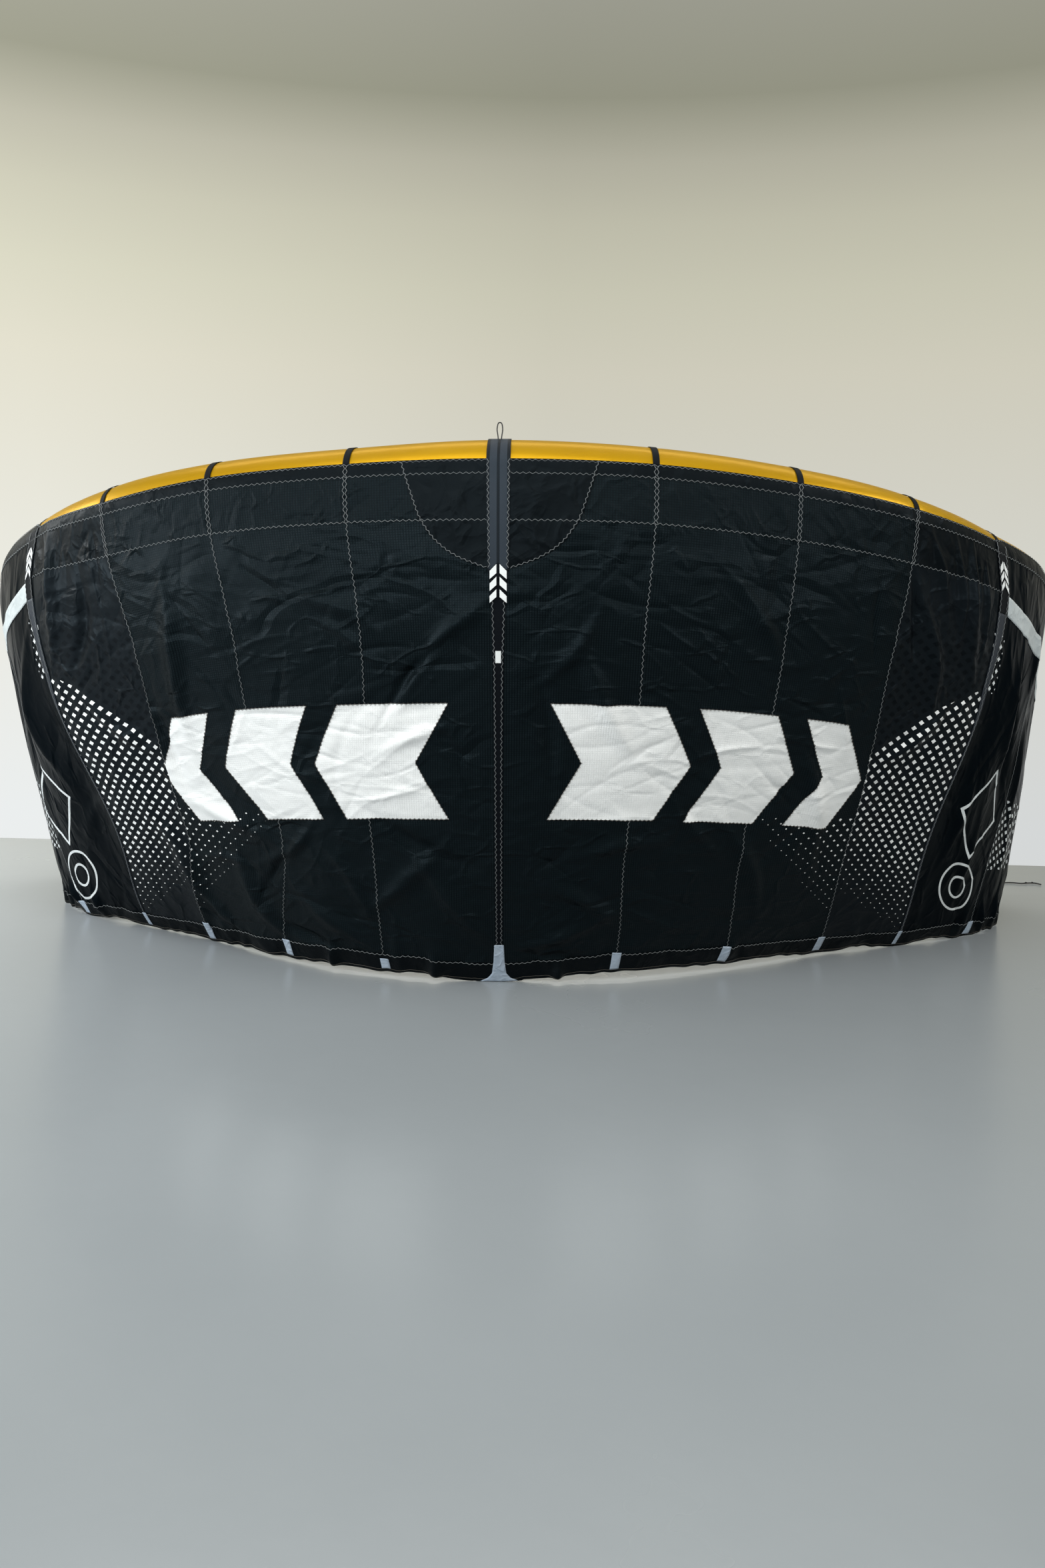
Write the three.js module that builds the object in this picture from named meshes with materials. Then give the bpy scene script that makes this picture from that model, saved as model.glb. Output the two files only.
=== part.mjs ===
// Kitesurfing kite with an inflated leading edge, stood on its trailing edge.
// Millimetres, +Z up. The outer face of the canopy looks towards -Y, the leading-edge
// tube is on top, and the two tips trail back towards +Y. The origin is on the floor,
// under the middle of the kite.
//
// The canopy is one curved surface, worked out from a row of named sizes for each seam.
// "span" counts the seams from the centre line: -7 is the left tip, 0 the centre, 7 the
// right tip. "down" runs from 0 at the leading edge to 1 at the trailing edge. Every
// panel, band and patch is a thin closed solid laid on that surface.
import * as THREE from 'three';

// ---- Driving dimensions ----
const CLOTH = 1.5; // thickness of a canopy panel
const HEM = 2.0; // thickness of the folded hem along the trailing edge
const TRIM = 1.0; // thickness of a sewn-on tape, patch or band
const LAYER = 0.8; // clear space between a panel and what is sewn over it
const TUBE_CLEAR = 0.8; // clear space between the leading-edge tube and the canopy
const SEAM = 0.0008; // half of the gap at a seam across the span, in span units
const ROW = 0.0003; // half of the gap at a seam down the canopy, in down units

const BAND_END = 0.026; // down: lower edge of the leading-edge band
const FRONT_END = 0.102; // down: lower edge of the front row of panels
const HEM_START = 0.954; // down: upper edge of the hem band
const STRUT = 4; // span of the outer struts
const TAB_SEAM = 5; // span of the last seam before the tip
const TIP = 7; // span of the tip's end

const CAMBER_PEAK = 0.36; // down: where the canopy bulges most
const TUBE_SIDES = 14;
const STRAIGHT_STEP = 2; // a straight length of the tube keeps every second edge line
const STRUT_SIDES = 12;
const STRUT_STEPS = 9; // steps along a strut
const STRUT_FRONT_RADIUS = 50;
const STRUT_BACK_RADIUS = 30;
const STRUT_SEAT = 0.5; // how far a strut stands off the canopy and the leading-edge tube
const STRUT_END = 0.925; // down: where a strut stops short of the hem
const MAIN_ROWS = 9; // steps down a main panel
const STEPS_PER_SEAM = 5; // steps across a panel
const TIP_STEPS_PER_SEAM = 3; // steps across one span unit of the last panel

// One row for each seam, from the left tip to the right tip: where the canopy starts on
// the leading edge (lead), where it ends on the trailing edge (trail), how far the hem is
// lifted off the floor, how far the cloth bulges out, how far the seam drifts sideways in
// its upper and lower half, the radius of the leading-edge tube, and the length of cloth
// that lies on the tube before the canopy leaves it.
const SECTIONS = [
  { span: -7, lead: [-1590, 1200, 600], trail: [-1545, 1130], lift: 0, bulge: 8,
    driftUp: 0, driftLow: 0, tube: 46, wrap: 11 },
  { span: -6, lead: [-1640, 850, 925], trail: [-1590, 790], lift: 0, bulge: 30,
    driftUp: 0, driftLow: 0, tube: 57, wrap: 17 },
  { span: -5, lead: [-1622, 475, 1146], trail: [-1412, 556], lift: 0, bulge: 66,
    driftUp: 0, driftLow: 0, tube: 67, wrap: 22 },
  { span: -4, lead: [-1364, 190, 1250], trail: [-1153, 431], lift: 0, bulge: 125,
    driftUp: -20, driftLow: -80, tube: 76, wrap: 26 },
  { span: -3, lead: [-1095, 0, 1307], trail: [-912, 306], lift: 0, bulge: 80,
    driftUp: -84, driftLow: -80, tube: 81, wrap: 28 },
  { span: -2, lead: [-775, -100, 1366], trail: [-630, 131], lift: 8, bulge: 85,
    driftUp: -74, driftLow: -105, tube: 85, wrap: 28 },
  { span: -1, lead: [-401, -170, 1397], trail: [-326, 19], lift: 12, bulge: 105,
    driftUp: -45, driftLow: -20, tube: 88, wrap: 20 },
  { span: 0, lead: [-16, -205, 1411], trail: [-3, 2], lift: 0, bulge: 115,
    driftUp: 0, driftLow: 0, tube: 90, wrap: 12 },
  { span: 1, lead: [374, -170, 1408], trail: [323, 50], lift: 22, bulge: 105,
    driftUp: -28, driftLow: -24, tube: 88, wrap: 20 },
  { span: 2, lead: [745, -100, 1377], trail: [647, 175], lift: 16, bulge: 85,
    driftUp: -27, driftLow: -44, tube: 85, wrap: 32 },
  { span: 3, lead: [1073, 0, 1327], trail: [960, 345], lift: 5, bulge: 80,
    driftUp: -45, driftLow: -30, tube: 79, wrap: 37 },
  { span: 4, lead: [1361, 190, 1258], trail: [1235, 469], lift: 0, bulge: 90,
    driftUp: 0, driftLow: -42, tube: 75, wrap: 32 },
  { span: 5, lead: [1620, 470, 1150], trail: [1507, 609], lift: 0, bulge: 50,
    driftUp: -42, driftLow: -22, tube: 67, wrap: 22 },
  { span: 6, lead: [1680, 850, 935], trail: [1672, 796], lift: 0, bulge: 38,
    driftUp: 0, driftLow: 0, tube: 57, wrap: 17 },
  { span: 7, lead: [1620, 1200, 600], trail: [1585, 1130], lift: 0, bulge: 8,
    driftUp: 0, driftLow: 0, tube: 46, wrap: 11 },
];

// Main creases of the slack cloth: a soft ridge (height above 0) or trough (below 0)
// centred at span and down, with its half-widths across and along, and its slant, the
// span that it shifts for each unit of down.
const CREASES = [
  { span: 4.45, down: 0.42, across: 0.22, along: 0.3, slant: 0.1, height: 20 },
  { span: 4.2, down: 0.5, across: 0.14, along: 0.28, slant: 0.1, height: -12 },
  { span: -4.55, down: 0.42, across: 0.25, along: 0.28, slant: -0.1, height: 18 },
  { span: -4.2, down: 0.52, across: 0.16, along: 0.26, slant: -0.1, height: -10 },
  { span: -5.3, down: 0.86, across: 0.3, along: 0.1, slant: 0.4, height: 10 },
  { span: 2.5, down: 0.72, across: 0.3, along: 0.14, slant: -0.8, height: 8 },
  { span: -2.45, down: 0.62, across: 0.3, along: 0.16, slant: 1.2, height: -9 },
  { span: -1.5, down: 0.74, across: 0.28, along: 0.12, slant: -0.6, height: 8 },
  { span: 1.5, down: 0.4, across: 0.34, along: 0.12, slant: 0.5, height: -7 },
  { span: -0.5, down: 0.9, across: 0.3, along: 0.1, slant: 0, height: 7 },
];

const COLOURS = {
  gold: { color: 0xd9a516, roughness: 0.45, metalness: 0 },
  black: { color: 0x101113, roughness: 0.7, metalness: 0 },
  dullBlack: { color: 0x17181a, roughness: 0.85, metalness: 0 },
  tape: { color: 0x7f8b95, roughness: 0.55, metalness: 0 },
  white: { color: 0xdfe4e8, roughness: 0.6, metalness: 0 },
  cord: { color: 0x2a2b2e, roughness: 0.8, metalness: 0 },
};

// ---- The canopy surface ----

/** A column of SECTIONS at any span: a smooth curve through its rows. */
function column(read, span) {
  const last = SECTIONS.length - 1;
  const place = THREE.MathUtils.clamp(span + TIP, 0, last);
  const row = Math.min(Math.floor(place), last - 1);
  const part = place - row;
  const value = (index) => read(SECTIONS[THREE.MathUtils.clamp(index, 0, last)]);
  const [before, start, end, after] = [value(row - 1), value(row), value(row + 1), value(row + 2)];
  const leave = (end - before) / (row > 0 ? 2 : 1);
  const arrive = (after - start) / (row < last - 1 ? 2 : 1);
  const cubic = 2 * start - 2 * end + leave + arrive;
  const square = 3 * end - 3 * start - 2 * leave - arrive;
  return ((cubic * part + square) * part + leave) * part + start;
}

function leadPoint(span) {
  const axis = (index) => column((row) => row.lead[index], span);
  return new THREE.Vector3(axis(0), axis(1), axis(2));
}

function trailPoint(span) {
  const axis = (index) => column((row) => row.trail[index], span);
  return new THREE.Vector3(axis(0), axis(1), Math.max(0, column((row) => row.lift, span)));
}

/** How far the cloth bulges at a place down the canopy, as a share of its most. */
function fullness(down) {
  const peak = CAMBER_PEAK;
  if (down < peak) {
    return (2 * peak * down - down * down) / peak ** 2;
  }
  return (1 - 2 * peak + 2 * peak * down - down * down) / (1 - peak) ** 2;
}

/** A hump from 0 to 1 and back between two places. */
function hump(from, to, at) {
  const part = THREE.MathUtils.clamp((at - from) / (to - from), 0, 1);
  return Math.sin(Math.PI * part) ** 2;
}

function creaseHeight(span, down) {
  let height = 0;
  for (const crease of CREASES) {
    const aside = (span - crease.span - crease.slant * (down - crease.down)) / crease.across;
    const along = (down - crease.down) / crease.along;
    height += crease.height * Math.exp(-aside * aside - along * along);
  }
  return height * hump(-0.5, 1.5, down);
}

/** The canopy's middle surface, were it not drawn in round the leading-edge tube. */
function openPoint(span, down) {
  const step = 0.05;
  const lead = leadPoint(span);
  const trail = trailPoint(span);
  const ahead = trailPoint(Math.min(span + step, TIP));
  const behind = trailPoint(Math.max(span - step, -TIP));
  const sideways = ahead.sub(behind).setZ(0).normalize();
  const outward = new THREE.Vector3().crossVectors(trail.clone().sub(lead), sideways).normalize();
  const bulge = column((row) => row.bulge, span) * fullness(down);
  const tipwards = Math.sign(span);
  const drift = column((row) => row.driftUp, span) * hump(0, 0.66, down)
    + column((row) => row.driftLow, span) * hump(0.34, 1, down);
  return lead.lerp(trail, down)
    .addScaledVector(outward, bulge + creaseHeight(span, down))
    .addScaledVector(sideways, drift * tipwards);
}

function openNormal(span, down) {
  const step = 0.01;
  const left = openPoint(Math.max(span - step, -TIP), down);
  const right = openPoint(Math.min(span + step, TIP), down);
  const up = openPoint(span, Math.max(down - step, 0));
  const low = openPoint(span, Math.min(down + step, 1));
  return new THREE.Vector3().crossVectors(low.sub(up), right.sub(left)).normalize();
}

/** The leading-edge tube's middle, its two cross directions and its axis at a span. */
function tubeFrame(span) {
  const chord = leadPoint(span).distanceTo(trailPoint(span));
  const leaves = column((row) => row.wrap, span) / chord;
  const step = 0.05;
  const ahead = leadPoint(Math.min(span + step, TIP));
  const axis = ahead.sub(leadPoint(Math.max(span - step, -TIP))).normalize();
  const normal = openNormal(span, leaves);
  const out = normal.addScaledVector(axis, -normal.dot(axis)).normalize();
  const up = new THREE.Vector3().crossVectors(axis, out).normalize().negate();
  const radius = column((row) => row.tube, span);
  const reach = radius + TUBE_CLEAR + CLOTH / 2;
  const middle = openPoint(span, leaves).addScaledVector(out, -reach);
  return { axis, out, up, radius, reach, middle, leaves, edgeAngle: (leaves * chord) / reach };
}

/** A point at an angle round the tube, from where the canopy leaves it, and at a height. */
function aroundTube(frame, angle, height) {
  return frame.middle.clone()
    .addScaledVector(frame.out, height * Math.cos(angle))
    .addScaledVector(frame.up, height * Math.sin(angle));
}

/** The canopy's middle surface and its normal, before it is cut into flat steps. */
function smoothPlace(span, down) {
  const frame = tubeFrame(span);
  if (down < frame.leaves) {
    const angle = frame.edgeAngle * (1 - down / frame.leaves);
    const point = aroundTube(frame, angle, frame.reach);
    return { point, normal: point.clone().sub(frame.middle).normalize() };
  }
  return { point: openPoint(span, down), normal: openNormal(span, down) };
}

/** Places across the span where every piece may have an edge line. */
function spanKnots() {
  const right = [];
  for (let step = 1; step <= TAB_SEAM * STEPS_PER_SEAM; step += 1) {
    right.push(step / STEPS_PER_SEAM);
  }
  for (let step = 1; step <= (TIP - TAB_SEAM) * TIP_STEPS_PER_SEAM; step += 1) {
    right.push(TAB_SEAM + step / TIP_STEPS_PER_SEAM);
  }
  return [...right.map((span) => -span).reverse(), 0, ...right];
}

/** Places down the canopy where every piece may have an edge line. */
function downKnots() {
  const rows = [0, BAND_END / 2, BAND_END];
  for (let step = 0; step <= MAIN_ROWS; step += 1) {
    rows.push(FRONT_END + ((HEM_START - FRONT_END) * step) / MAIN_ROWS);
  }
  return [...rows, 1];
}

const SPAN_KNOTS = spanKnots();
const DOWN_KNOTS = downKnots();

/** The knots strictly between two places, with the two places at the ends. */
function between(knots, from, to) {
  const close = 1e-6;
  return [from, ...knots.filter((knot) => knot > from + close && knot < to - close), to];
}

function cell(knots, at) {
  let index = 0;
  while (index < knots.length - 2 && at >= knots[index + 1]) {
    index += 1;
  }
  return { index, part: (at - knots[index]) / (knots[index + 1] - knots[index]) };
}

const knotCache = new Map();

/** The smooth surface and its normal at one crossing of the knots. */
function knotPlace(spanIndex, downIndex) {
  const key = spanIndex * DOWN_KNOTS.length + downIndex;
  if (!knotCache.has(key)) {
    knotCache.set(key, smoothPlace(SPAN_KNOTS[spanIndex], DOWN_KNOTS[downIndex]));
  }
  return knotCache.get(key);
}

/**
 * The faceted surface that all the cloth lies on: its point and its outward normal. Each
 * cell is two flat triangles that meet on the line from its top left to its bottom right.
 */
function surface(span, down) {
  const across = cell(SPAN_KNOTS, span);
  const along = cell(DOWN_KNOTS, down);
  const blend = (what) => {
    const corner = (right, low) => knotPlace(across.index + right, along.index + low)[what];
    const [right, low] = [across.part, along.part];
    const third = low > right ? corner(0, 1) : corner(1, 0);
    return corner(0, 0).clone().multiplyScalar(1 - Math.max(right, low))
      .addScaledVector(third, Math.abs(right - low))
      .addScaledVector(corner(1, 1), Math.min(right, low));
  };
  return { point: blend('point'), normal: blend('normal').normalize() };
}

/** A point above (or, below 0, beneath) the surface. The trailing edge stays level. */
function lifted(span, down, height) {
  const { point, normal } = surface(span, down);
  const raised = point.addScaledVector(normal, height);
  if (down > 1 - 1e-6) {
    raised.z = trailPoint(span).z;
  }
  return raised;
}

// ---- Closed solids ----

function geometryOf(vertices, triangles) {
  const geometry = new THREE.BufferGeometry();
  const numbers = vertices.flatMap((vertex) => vertex.toArray());
  geometry.setAttribute('position', new THREE.Float32BufferAttribute(numbers, 3));
  geometry.setIndex(triangles);
  return geometry;
}

/** A closed solid between two equal grids of points. Rows run down, columns to the right. */
function slab(outer, inner) {
  const rows = outer.length;
  const columns = outer[0].length;
  const vertices = [...outer.flat(), ...inner.flat()];
  const under = rows * columns;
  const at = (row, column_) => row * columns + column_;
  const triangles = [];
  const quad = (a, b, c, d) => triangles.push(a, b, c, a, c, d);
  for (let row = 0; row < rows - 1; row += 1) {
    for (let col = 0; col < columns - 1; col += 1) {
      const [a, b, c, d] = [at(row, col), at(row + 1, col), at(row + 1, col + 1), at(row, col + 1)];
      quad(a, b, c, d);
      quad(under + a, under + d, under + c, under + b);
    }
  }
  for (let col = 0; col < columns - 1; col += 1) {
    const [topLeft, topRight] = [at(0, col), at(0, col + 1)];
    const [lowLeft, lowRight] = [at(rows - 1, col), at(rows - 1, col + 1)];
    quad(topLeft, topRight, under + topRight, under + topLeft);
    quad(lowRight, lowLeft, under + lowLeft, under + lowRight);
  }
  for (let row = 0; row < rows - 1; row += 1) {
    const [leftTop, leftLow] = [at(row, 0), at(row + 1, 0)];
    const [rightTop, rightLow] = [at(row, columns - 1), at(row + 1, columns - 1)];
    quad(leftLow, leftTop, under + leftTop, under + leftLow);
    quad(rightTop, rightLow, under + rightLow, under + rightTop);
  }
  return geometryOf(vertices, triangles);
}

/** A closed tube through rings of points, each ring listed the same way round. */
function rings(list) {
  const sides = list[0].length;
  const vertices = list.flat();
  const triangles = [];
  for (let ring = 0; ring < list.length - 1; ring += 1) {
    for (let side = 0; side < sides; side += 1) {
      const next = (side + 1) % sides;
      const [a, b] = [ring * sides + side, ring * sides + next];
      const [c, d] = [(ring + 1) * sides + next, (ring + 1) * sides + side];
      triangles.push(a, b, c, a, c, d);
    }
  }
  const last = (list.length - 1) * sides;
  for (let side = 1; side < sides - 1; side += 1) {
    triangles.push(0, side + 1, side);
    triangles.push(last, last + side, last + side + 1);
  }
  return geometryOf(vertices, triangles);
}

/** A sheet on the canopy. place(row, column) gives its span and down. */
function sheetGeometry(rowCount, columnCount, place, bottom, thickness) {
  const layer = (height) => Array.from({ length: rowCount }, (_, row) => (
    Array.from({ length: columnCount }, (__, col) => {
      const { span, down } = place(row, col);
      return lifted(span, down, height);
    })
  ));
  return slab(layer(bottom + thickness), layer(bottom));
}

/** A panel of canopy cloth between two seams and two rows. */
function panelGeometry(fromSpan, toSpan, fromDown, toDown, thickness = CLOTH) {
  const spans = between(SPAN_KNOTS, fromSpan, toSpan);
  const downs = between(DOWN_KNOTS, fromDown, toDown);
  const place = (row, col) => ({ span: spans[col], down: downs[row] });
  return sheetGeometry(downs.length, spans.length, place, -thickness / 2, thickness);
}

/** A strip sewn along a line down the canopy. halfWidth(down) is in millimetres. */
function stripGeometry(centre, fromDown, toDown, halfWidth, level, columnCount = 3, extra = []) {
  const knots = [...DOWN_KNOTS, ...extra].sort((a, b) => a - b);
  const downs = between(knots, fromDown, toDown);
  const place = (row, col) => {
    const down = downs[row];
    const reach = halfWidth(down) / millimetresPerSpan(centre, down);
    return { span: centre + reach * ((2 * col) / (columnCount - 1) - 1), down };
  };
  return sheetGeometry(downs.length, columnCount, place, level, TRIM);
}

function millimetresPerSpan(span, down) {
  const step = 0.1;
  return surface(span - step, down).point.distanceTo(surface(span + step, down).point) / (2 * step);
}

// ---- The group and its pieces ----
const kite = new THREE.Group();
const cords = new Set();

function add(name, geometry, colour) {
  const mesh = new THREE.Mesh(geometry, new THREE.MeshStandardMaterial(COLOURS[colour]));
  mesh.name = name;
  kite.add(mesh);
  return mesh;
}

const SIDES = [
  { name: 'left', sign: -1 },
  { name: 'right', sign: 1 },
];

/** The two seams of a panel, in order from left to right, with their gaps. */
function seams(sign, near, far) {
  const [low, high] = sign > 0 ? [near, far] : [-far, -near];
  const inset = (edge, way) => (Math.abs(edge) === TIP ? edge : edge + way * SEAM);
  return [inset(low, 1), inset(high, -1)];
}

function tubeRing(span, scale = 1, shift = 0) {
  const frame = tubeFrame(span);
  return Array.from({ length: TUBE_SIDES }, (_, side) => {
    const angle = (-2 * Math.PI * side) / TUBE_SIDES;
    return aroundTube(frame, angle, frame.radius * scale).addScaledVector(frame.axis, shift);
  });
}

const TUBE_DOME = [{ scale: 0.85, out: 14 }, { scale: 0.5, out: 24 }]; // rings past the tip

/** One length of the inflated tube between two seams; the tip's length ends in a dome. */
function tubeSegment(sign, near, far) {
  const [low, high] = seams(sign, near, far);
  const bends = far > STRUT - 1;
  const knots = between(SPAN_KNOTS, low, high);
  const isKept = (_, index) => bends || index % STRAIGHT_STEP === 0 || index === knots.length - 1;
  const spans = knots.filter(isKept);
  const list = spans.map((span) => tubeRing(span));
  if (far === TIP && sign > 0) {
    TUBE_DOME.forEach((ring) => list.push(tubeRing(TIP, ring.scale, ring.out)));
  }
  if (far === TIP && sign < 0) {
    TUBE_DOME.forEach((ring) => list.unshift(tubeRing(-TIP, ring.scale, -ring.out)));
  }
  return rings(list);
}

const STRUT_DOME = [{ past: 0.008, scale: 0.8 }, { past: 0.013, scale: 0.45 }];

/** An inflated strut on the inner face, from the leading-edge tube to near the hem. */
function strutGeometry(span) {
  const radiusAt = (down) => (
    THREE.MathUtils.lerp(STRUT_FRONT_RADIUS, STRUT_BACK_RADIUS, down / STRUT_END)
  );
  const middleAt = (down) => lifted(span, down, -(radiusAt(down) + CLOTH / 2 + STRUT_SEAT));
  const ringAt = (down, scale) => {
    const along = middleAt(down + 0.01).sub(middleAt(down - 0.01)).normalize();
    const { normal } = surface(span, down);
    const side = new THREE.Vector3().crossVectors(along, normal).normalize();
    const out = new THREE.Vector3().crossVectors(side, along).normalize();
    const radius = radiusAt(down) * scale;
    return Array.from({ length: STRUT_SIDES }, (_, index) => {
      const angle = (2 * Math.PI * index) / STRUT_SIDES;
      return middleAt(down)
        .addScaledVector(side, radius * Math.sin(angle))
        .addScaledVector(out, radius * Math.cos(angle));
    });
  };
  const tubeNearby = [];
  for (let aside = -0.3; aside <= 0.3; aside += 0.02) {
    tubeNearby.push(tubeFrame(span + aside));
  }
  const clearOfTube = (down) => {
    const front = [1, 0.75, 0.5, 0.25].flatMap((scale) => ringAt(down, scale));
    const gapTo = (point) => tubeNearby.map((tube) => point.distanceTo(tube.middle) - tube.radius);
    return Math.min(...front.flatMap(gapTo));
  };
  let start = FRONT_END / 2;
  while (clearOfTube(start) < STRUT_SEAT) {
    start += 0.0002;
  }
  const list = [];
  for (let step = 0; step <= STRUT_STEPS; step += 1) {
    list.push(ringAt(start + ((STRUT_END - start) * step) / STRUT_STEPS, 1));
  }
  STRUT_DOME.forEach((ring) => list.push(ringAt(STRUT_END + ring.past, ring.scale)));
  return rings(list);
}

function cordGeometry(points, diameter, steps) {
  const route = new THREE.CatmullRomCurve3(points.map((point) => new THREE.Vector3(...point)));
  const section = new THREE.Shape();
  const sides = 8;
  for (let side = 0; side < sides; side += 1) {
    const angle = (2 * Math.PI * side) / sides;
    const [x, y] = [(diameter / 2) * Math.cos(angle), (diameter / 2) * Math.sin(angle)];
    if (side === 0) {
      section.moveTo(x, y);
    } else {
      section.lineTo(x, y);
    }
  }
  return new THREE.ExtrudeGeometry(section, { steps, extrudePath: route, bevelEnabled: false });
}

// ---- Leading-edge tube, in lengths from seam to seam ----
for (const side of SIDES) {
  for (let number = 1; number <= 6; number += 1) {
    const far = number === 6 ? TIP : number;
    add(`tube_${side.name}_${number}`, tubeSegment(side.sign, number - 1, far), 'gold');
  }
}

// ---- Canopy: band on the tube, front row, main panels, tip panels and hem ----
for (const side of SIDES) {
  const [bandFrom, bandTo] = seams(side.sign, 0, TIP);
  add(`edge_band_${side.name}`, panelGeometry(bandFrom, bandTo, 0, BAND_END - ROW), 'black');
  for (let number = 1; number <= STRUT; number += 1) {
    const [from, to] = seams(side.sign, number - 1, number);
    const front = panelGeometry(from, to, BAND_END + ROW, FRONT_END - ROW);
    const main = panelGeometry(from, to, FRONT_END + ROW, HEM_START - ROW);
    add(`front_${side.name}_${number}`, front, 'black');
    add(`panel_${side.name}_${number}`, main, 'dullBlack');
  }
  const tips = [[STRUT, TAB_SEAM], [TAB_SEAM, TIP]];
  tips.forEach(([near, far], index) => {
    const [from, to] = seams(side.sign, near, far);
    const number = STRUT + 1 + index;
    const panel = panelGeometry(from, to, BAND_END + ROW, HEM_START - ROW);
    add(`panel_${side.name}_${number}`, panel, 'black');
  });
  add(`hem_${side.name}`, panelGeometry(bandFrom, bandTo, HEM_START + ROW, 1, HEM), 'black');
}

// ---- Shield over the centre, tape over the tube, and the tapering centre band ----
const OVER = CLOTH / 2 + LAYER; // underside of what is sewn straight on the canopy
const SHIELD_OVER = OVER + 0.5; // underside of the shield, which spans several facets
const OVER_TWICE = SHIELD_OVER + TRIM + LAYER; // underside of what is sewn over the shield

const SHIELD = [
  { down: 0.003, reach: 0.64 },
  { down: 0.06, reach: 0.57 },
  { down: 0.1, reach: 0.52 },
  { down: 0.135, reach: 0.44 },
  { down: 0.16, reach: 0.31 },
  { down: 0.18, reach: 0.1 },
];
const SHIELD_COLUMNS = 11;

function shieldGeometry() {
  const rows = SHIELD.flatMap((row, index) => {
    const next = SHIELD[index + 1];
    const inner = next ? DOWN_KNOTS.filter((knot) => knot > row.down && knot < next.down) : [];
    const middle = (down) => ({
      down,
      reach: THREE.MathUtils.mapLinear(down, row.down, next.down, row.reach, next.reach),
    });
    return [row, ...inner.map(middle)];
  });
  const place = (row, col) => ({
    span: rows[row].reach * ((2 * col) / (SHIELD_COLUMNS - 1) - 1),
    down: rows[row].down,
  });
  return sheetGeometry(rows.length, SHIELD_COLUMNS, place, SHIELD_OVER, TRIM);
}
add('shield', shieldGeometry(), 'black');

const TAPE_HALF_WIDTH = 30;
const TAPE_END = 0.17; // down: where the tape ends and the centre band starts
const TAPE_TOP_ANGLE = 84; // degrees round the tube from where the canopy leaves it
const TAPE_TUBE_STEPS = 9;

/** The tape starts behind the top of the tube, runs over it and down over the shield. */
function centreTapeGeometry() {
  const perSpan = millimetresPerSpan(0, 0.05);
  const edge = tubeFrame(0).edgeAngle;
  const top = THREE.MathUtils.degToRad(TAPE_TOP_ANGLE);
  const rows = Array.from({ length: TAPE_TUBE_STEPS }, (_, step) => ({ part: step / TAPE_TUBE_STEPS }));
  between(DOWN_KNOTS, 0.001, TAPE_END).forEach((down) => rows.push({ down }));
  const onTube = TUBE_CLEAR + LAYER;
  const onCanopy = CLOTH + TUBE_CLEAR + OVER_TWICE;
  const layer = (height) => rows.map((row) => [-1, 0, 1].map((way) => {
    const span = (way * TAPE_HALF_WIDTH) / perSpan;
    if (row.part === undefined) {
      return lifted(span, row.down, OVER_TWICE + height);
    }
    const frame = tubeFrame(span);
    const angle = THREE.MathUtils.lerp(top, edge, row.part);
    const rise = THREE.MathUtils.lerp(onTube, onCanopy, Math.max(0, 2 * row.part - 1));
    return aroundTube(frame, angle, frame.radius + rise + height);
  }));
  return slab(layer(TRIM), layer(0));
}
add('centre_tape', centreTapeGeometry(), 'tape');

const CENTRE_BAND_START = 0.184; // down: where the band comes out below the tape
const CENTRE_BAND_TOP = 26; // half-width under the tape
const CENTRE_BAND_LOW = 9; // half-width at the hem
const FOOT_START = 0.936;
const bandHalfWidth = (down) => THREE.MathUtils.mapLinear(
  down, CENTRE_BAND_START, FOOT_START, CENTRE_BAND_TOP, CENTRE_BAND_LOW,
);
add('centre_band', stripGeometry(
  0, CENTRE_BAND_START, FOOT_START - 0.002, bandHalfWidth, OVER,
), 'black');

// ---- Strut bands, slanted flashes on the tips, hem tabs and a blank label ----
const STRUT_BAND_TOP = 27;
const STRUT_BAND_LOW = 7;
const FLASH_STEPS = 3;
const FLASH_RISE = { left: 0.6, right: 1 }; // more space, as the flash crosses facets slantwise
const FLASH = [
  { span: 4.16, down: 0.105, wide: 0.042 },
  { span: 4.6, down: 0.138, wide: 0.044 },
  { span: 5.1, down: 0.168, wide: 0.046 },
  { span: 5.8, down: 0.23, wide: 0.05 },
  { span: 6.4, down: 0.29, wide: 0.054 },
];

function flashGeometry({ name, sign }) {
  const rows = FLASH.map((row) => ({ ...row, span: row.span * sign }));
  const ordered = sign > 0 ? rows : rows.reverse();
  const columns = ordered.flatMap((row, index) => {
    const next = ordered[index + 1];
    const inner = next ? SPAN_KNOTS.filter((knot) => knot > row.span && knot < next.span) : [];
    return [row, ...inner.map((span) => ({
      span,
      down: THREE.MathUtils.mapLinear(span, row.span, next.span, row.down, next.down),
      wide: THREE.MathUtils.mapLinear(span, row.span, next.span, row.wide, next.wide),
    }))];
  });
  const place = (row, col) => ({
    span: columns[col].span,
    down: columns[col].down + (columns[col].wide * row) / FLASH_STEPS,
  });
  return sheetGeometry(FLASH_STEPS + 1, columns.length, place, OVER + FLASH_RISE[name], TRIM);
}

const TAB_HALF_WIDTH = 10;
const TAB_FROM = 0.951;
const TAB_TO = 0.991;
const TAB_SHIFT = { left: [2, 5, 4, 3, 6], right: [-3, -9, -8, -9, -9] };

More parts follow.
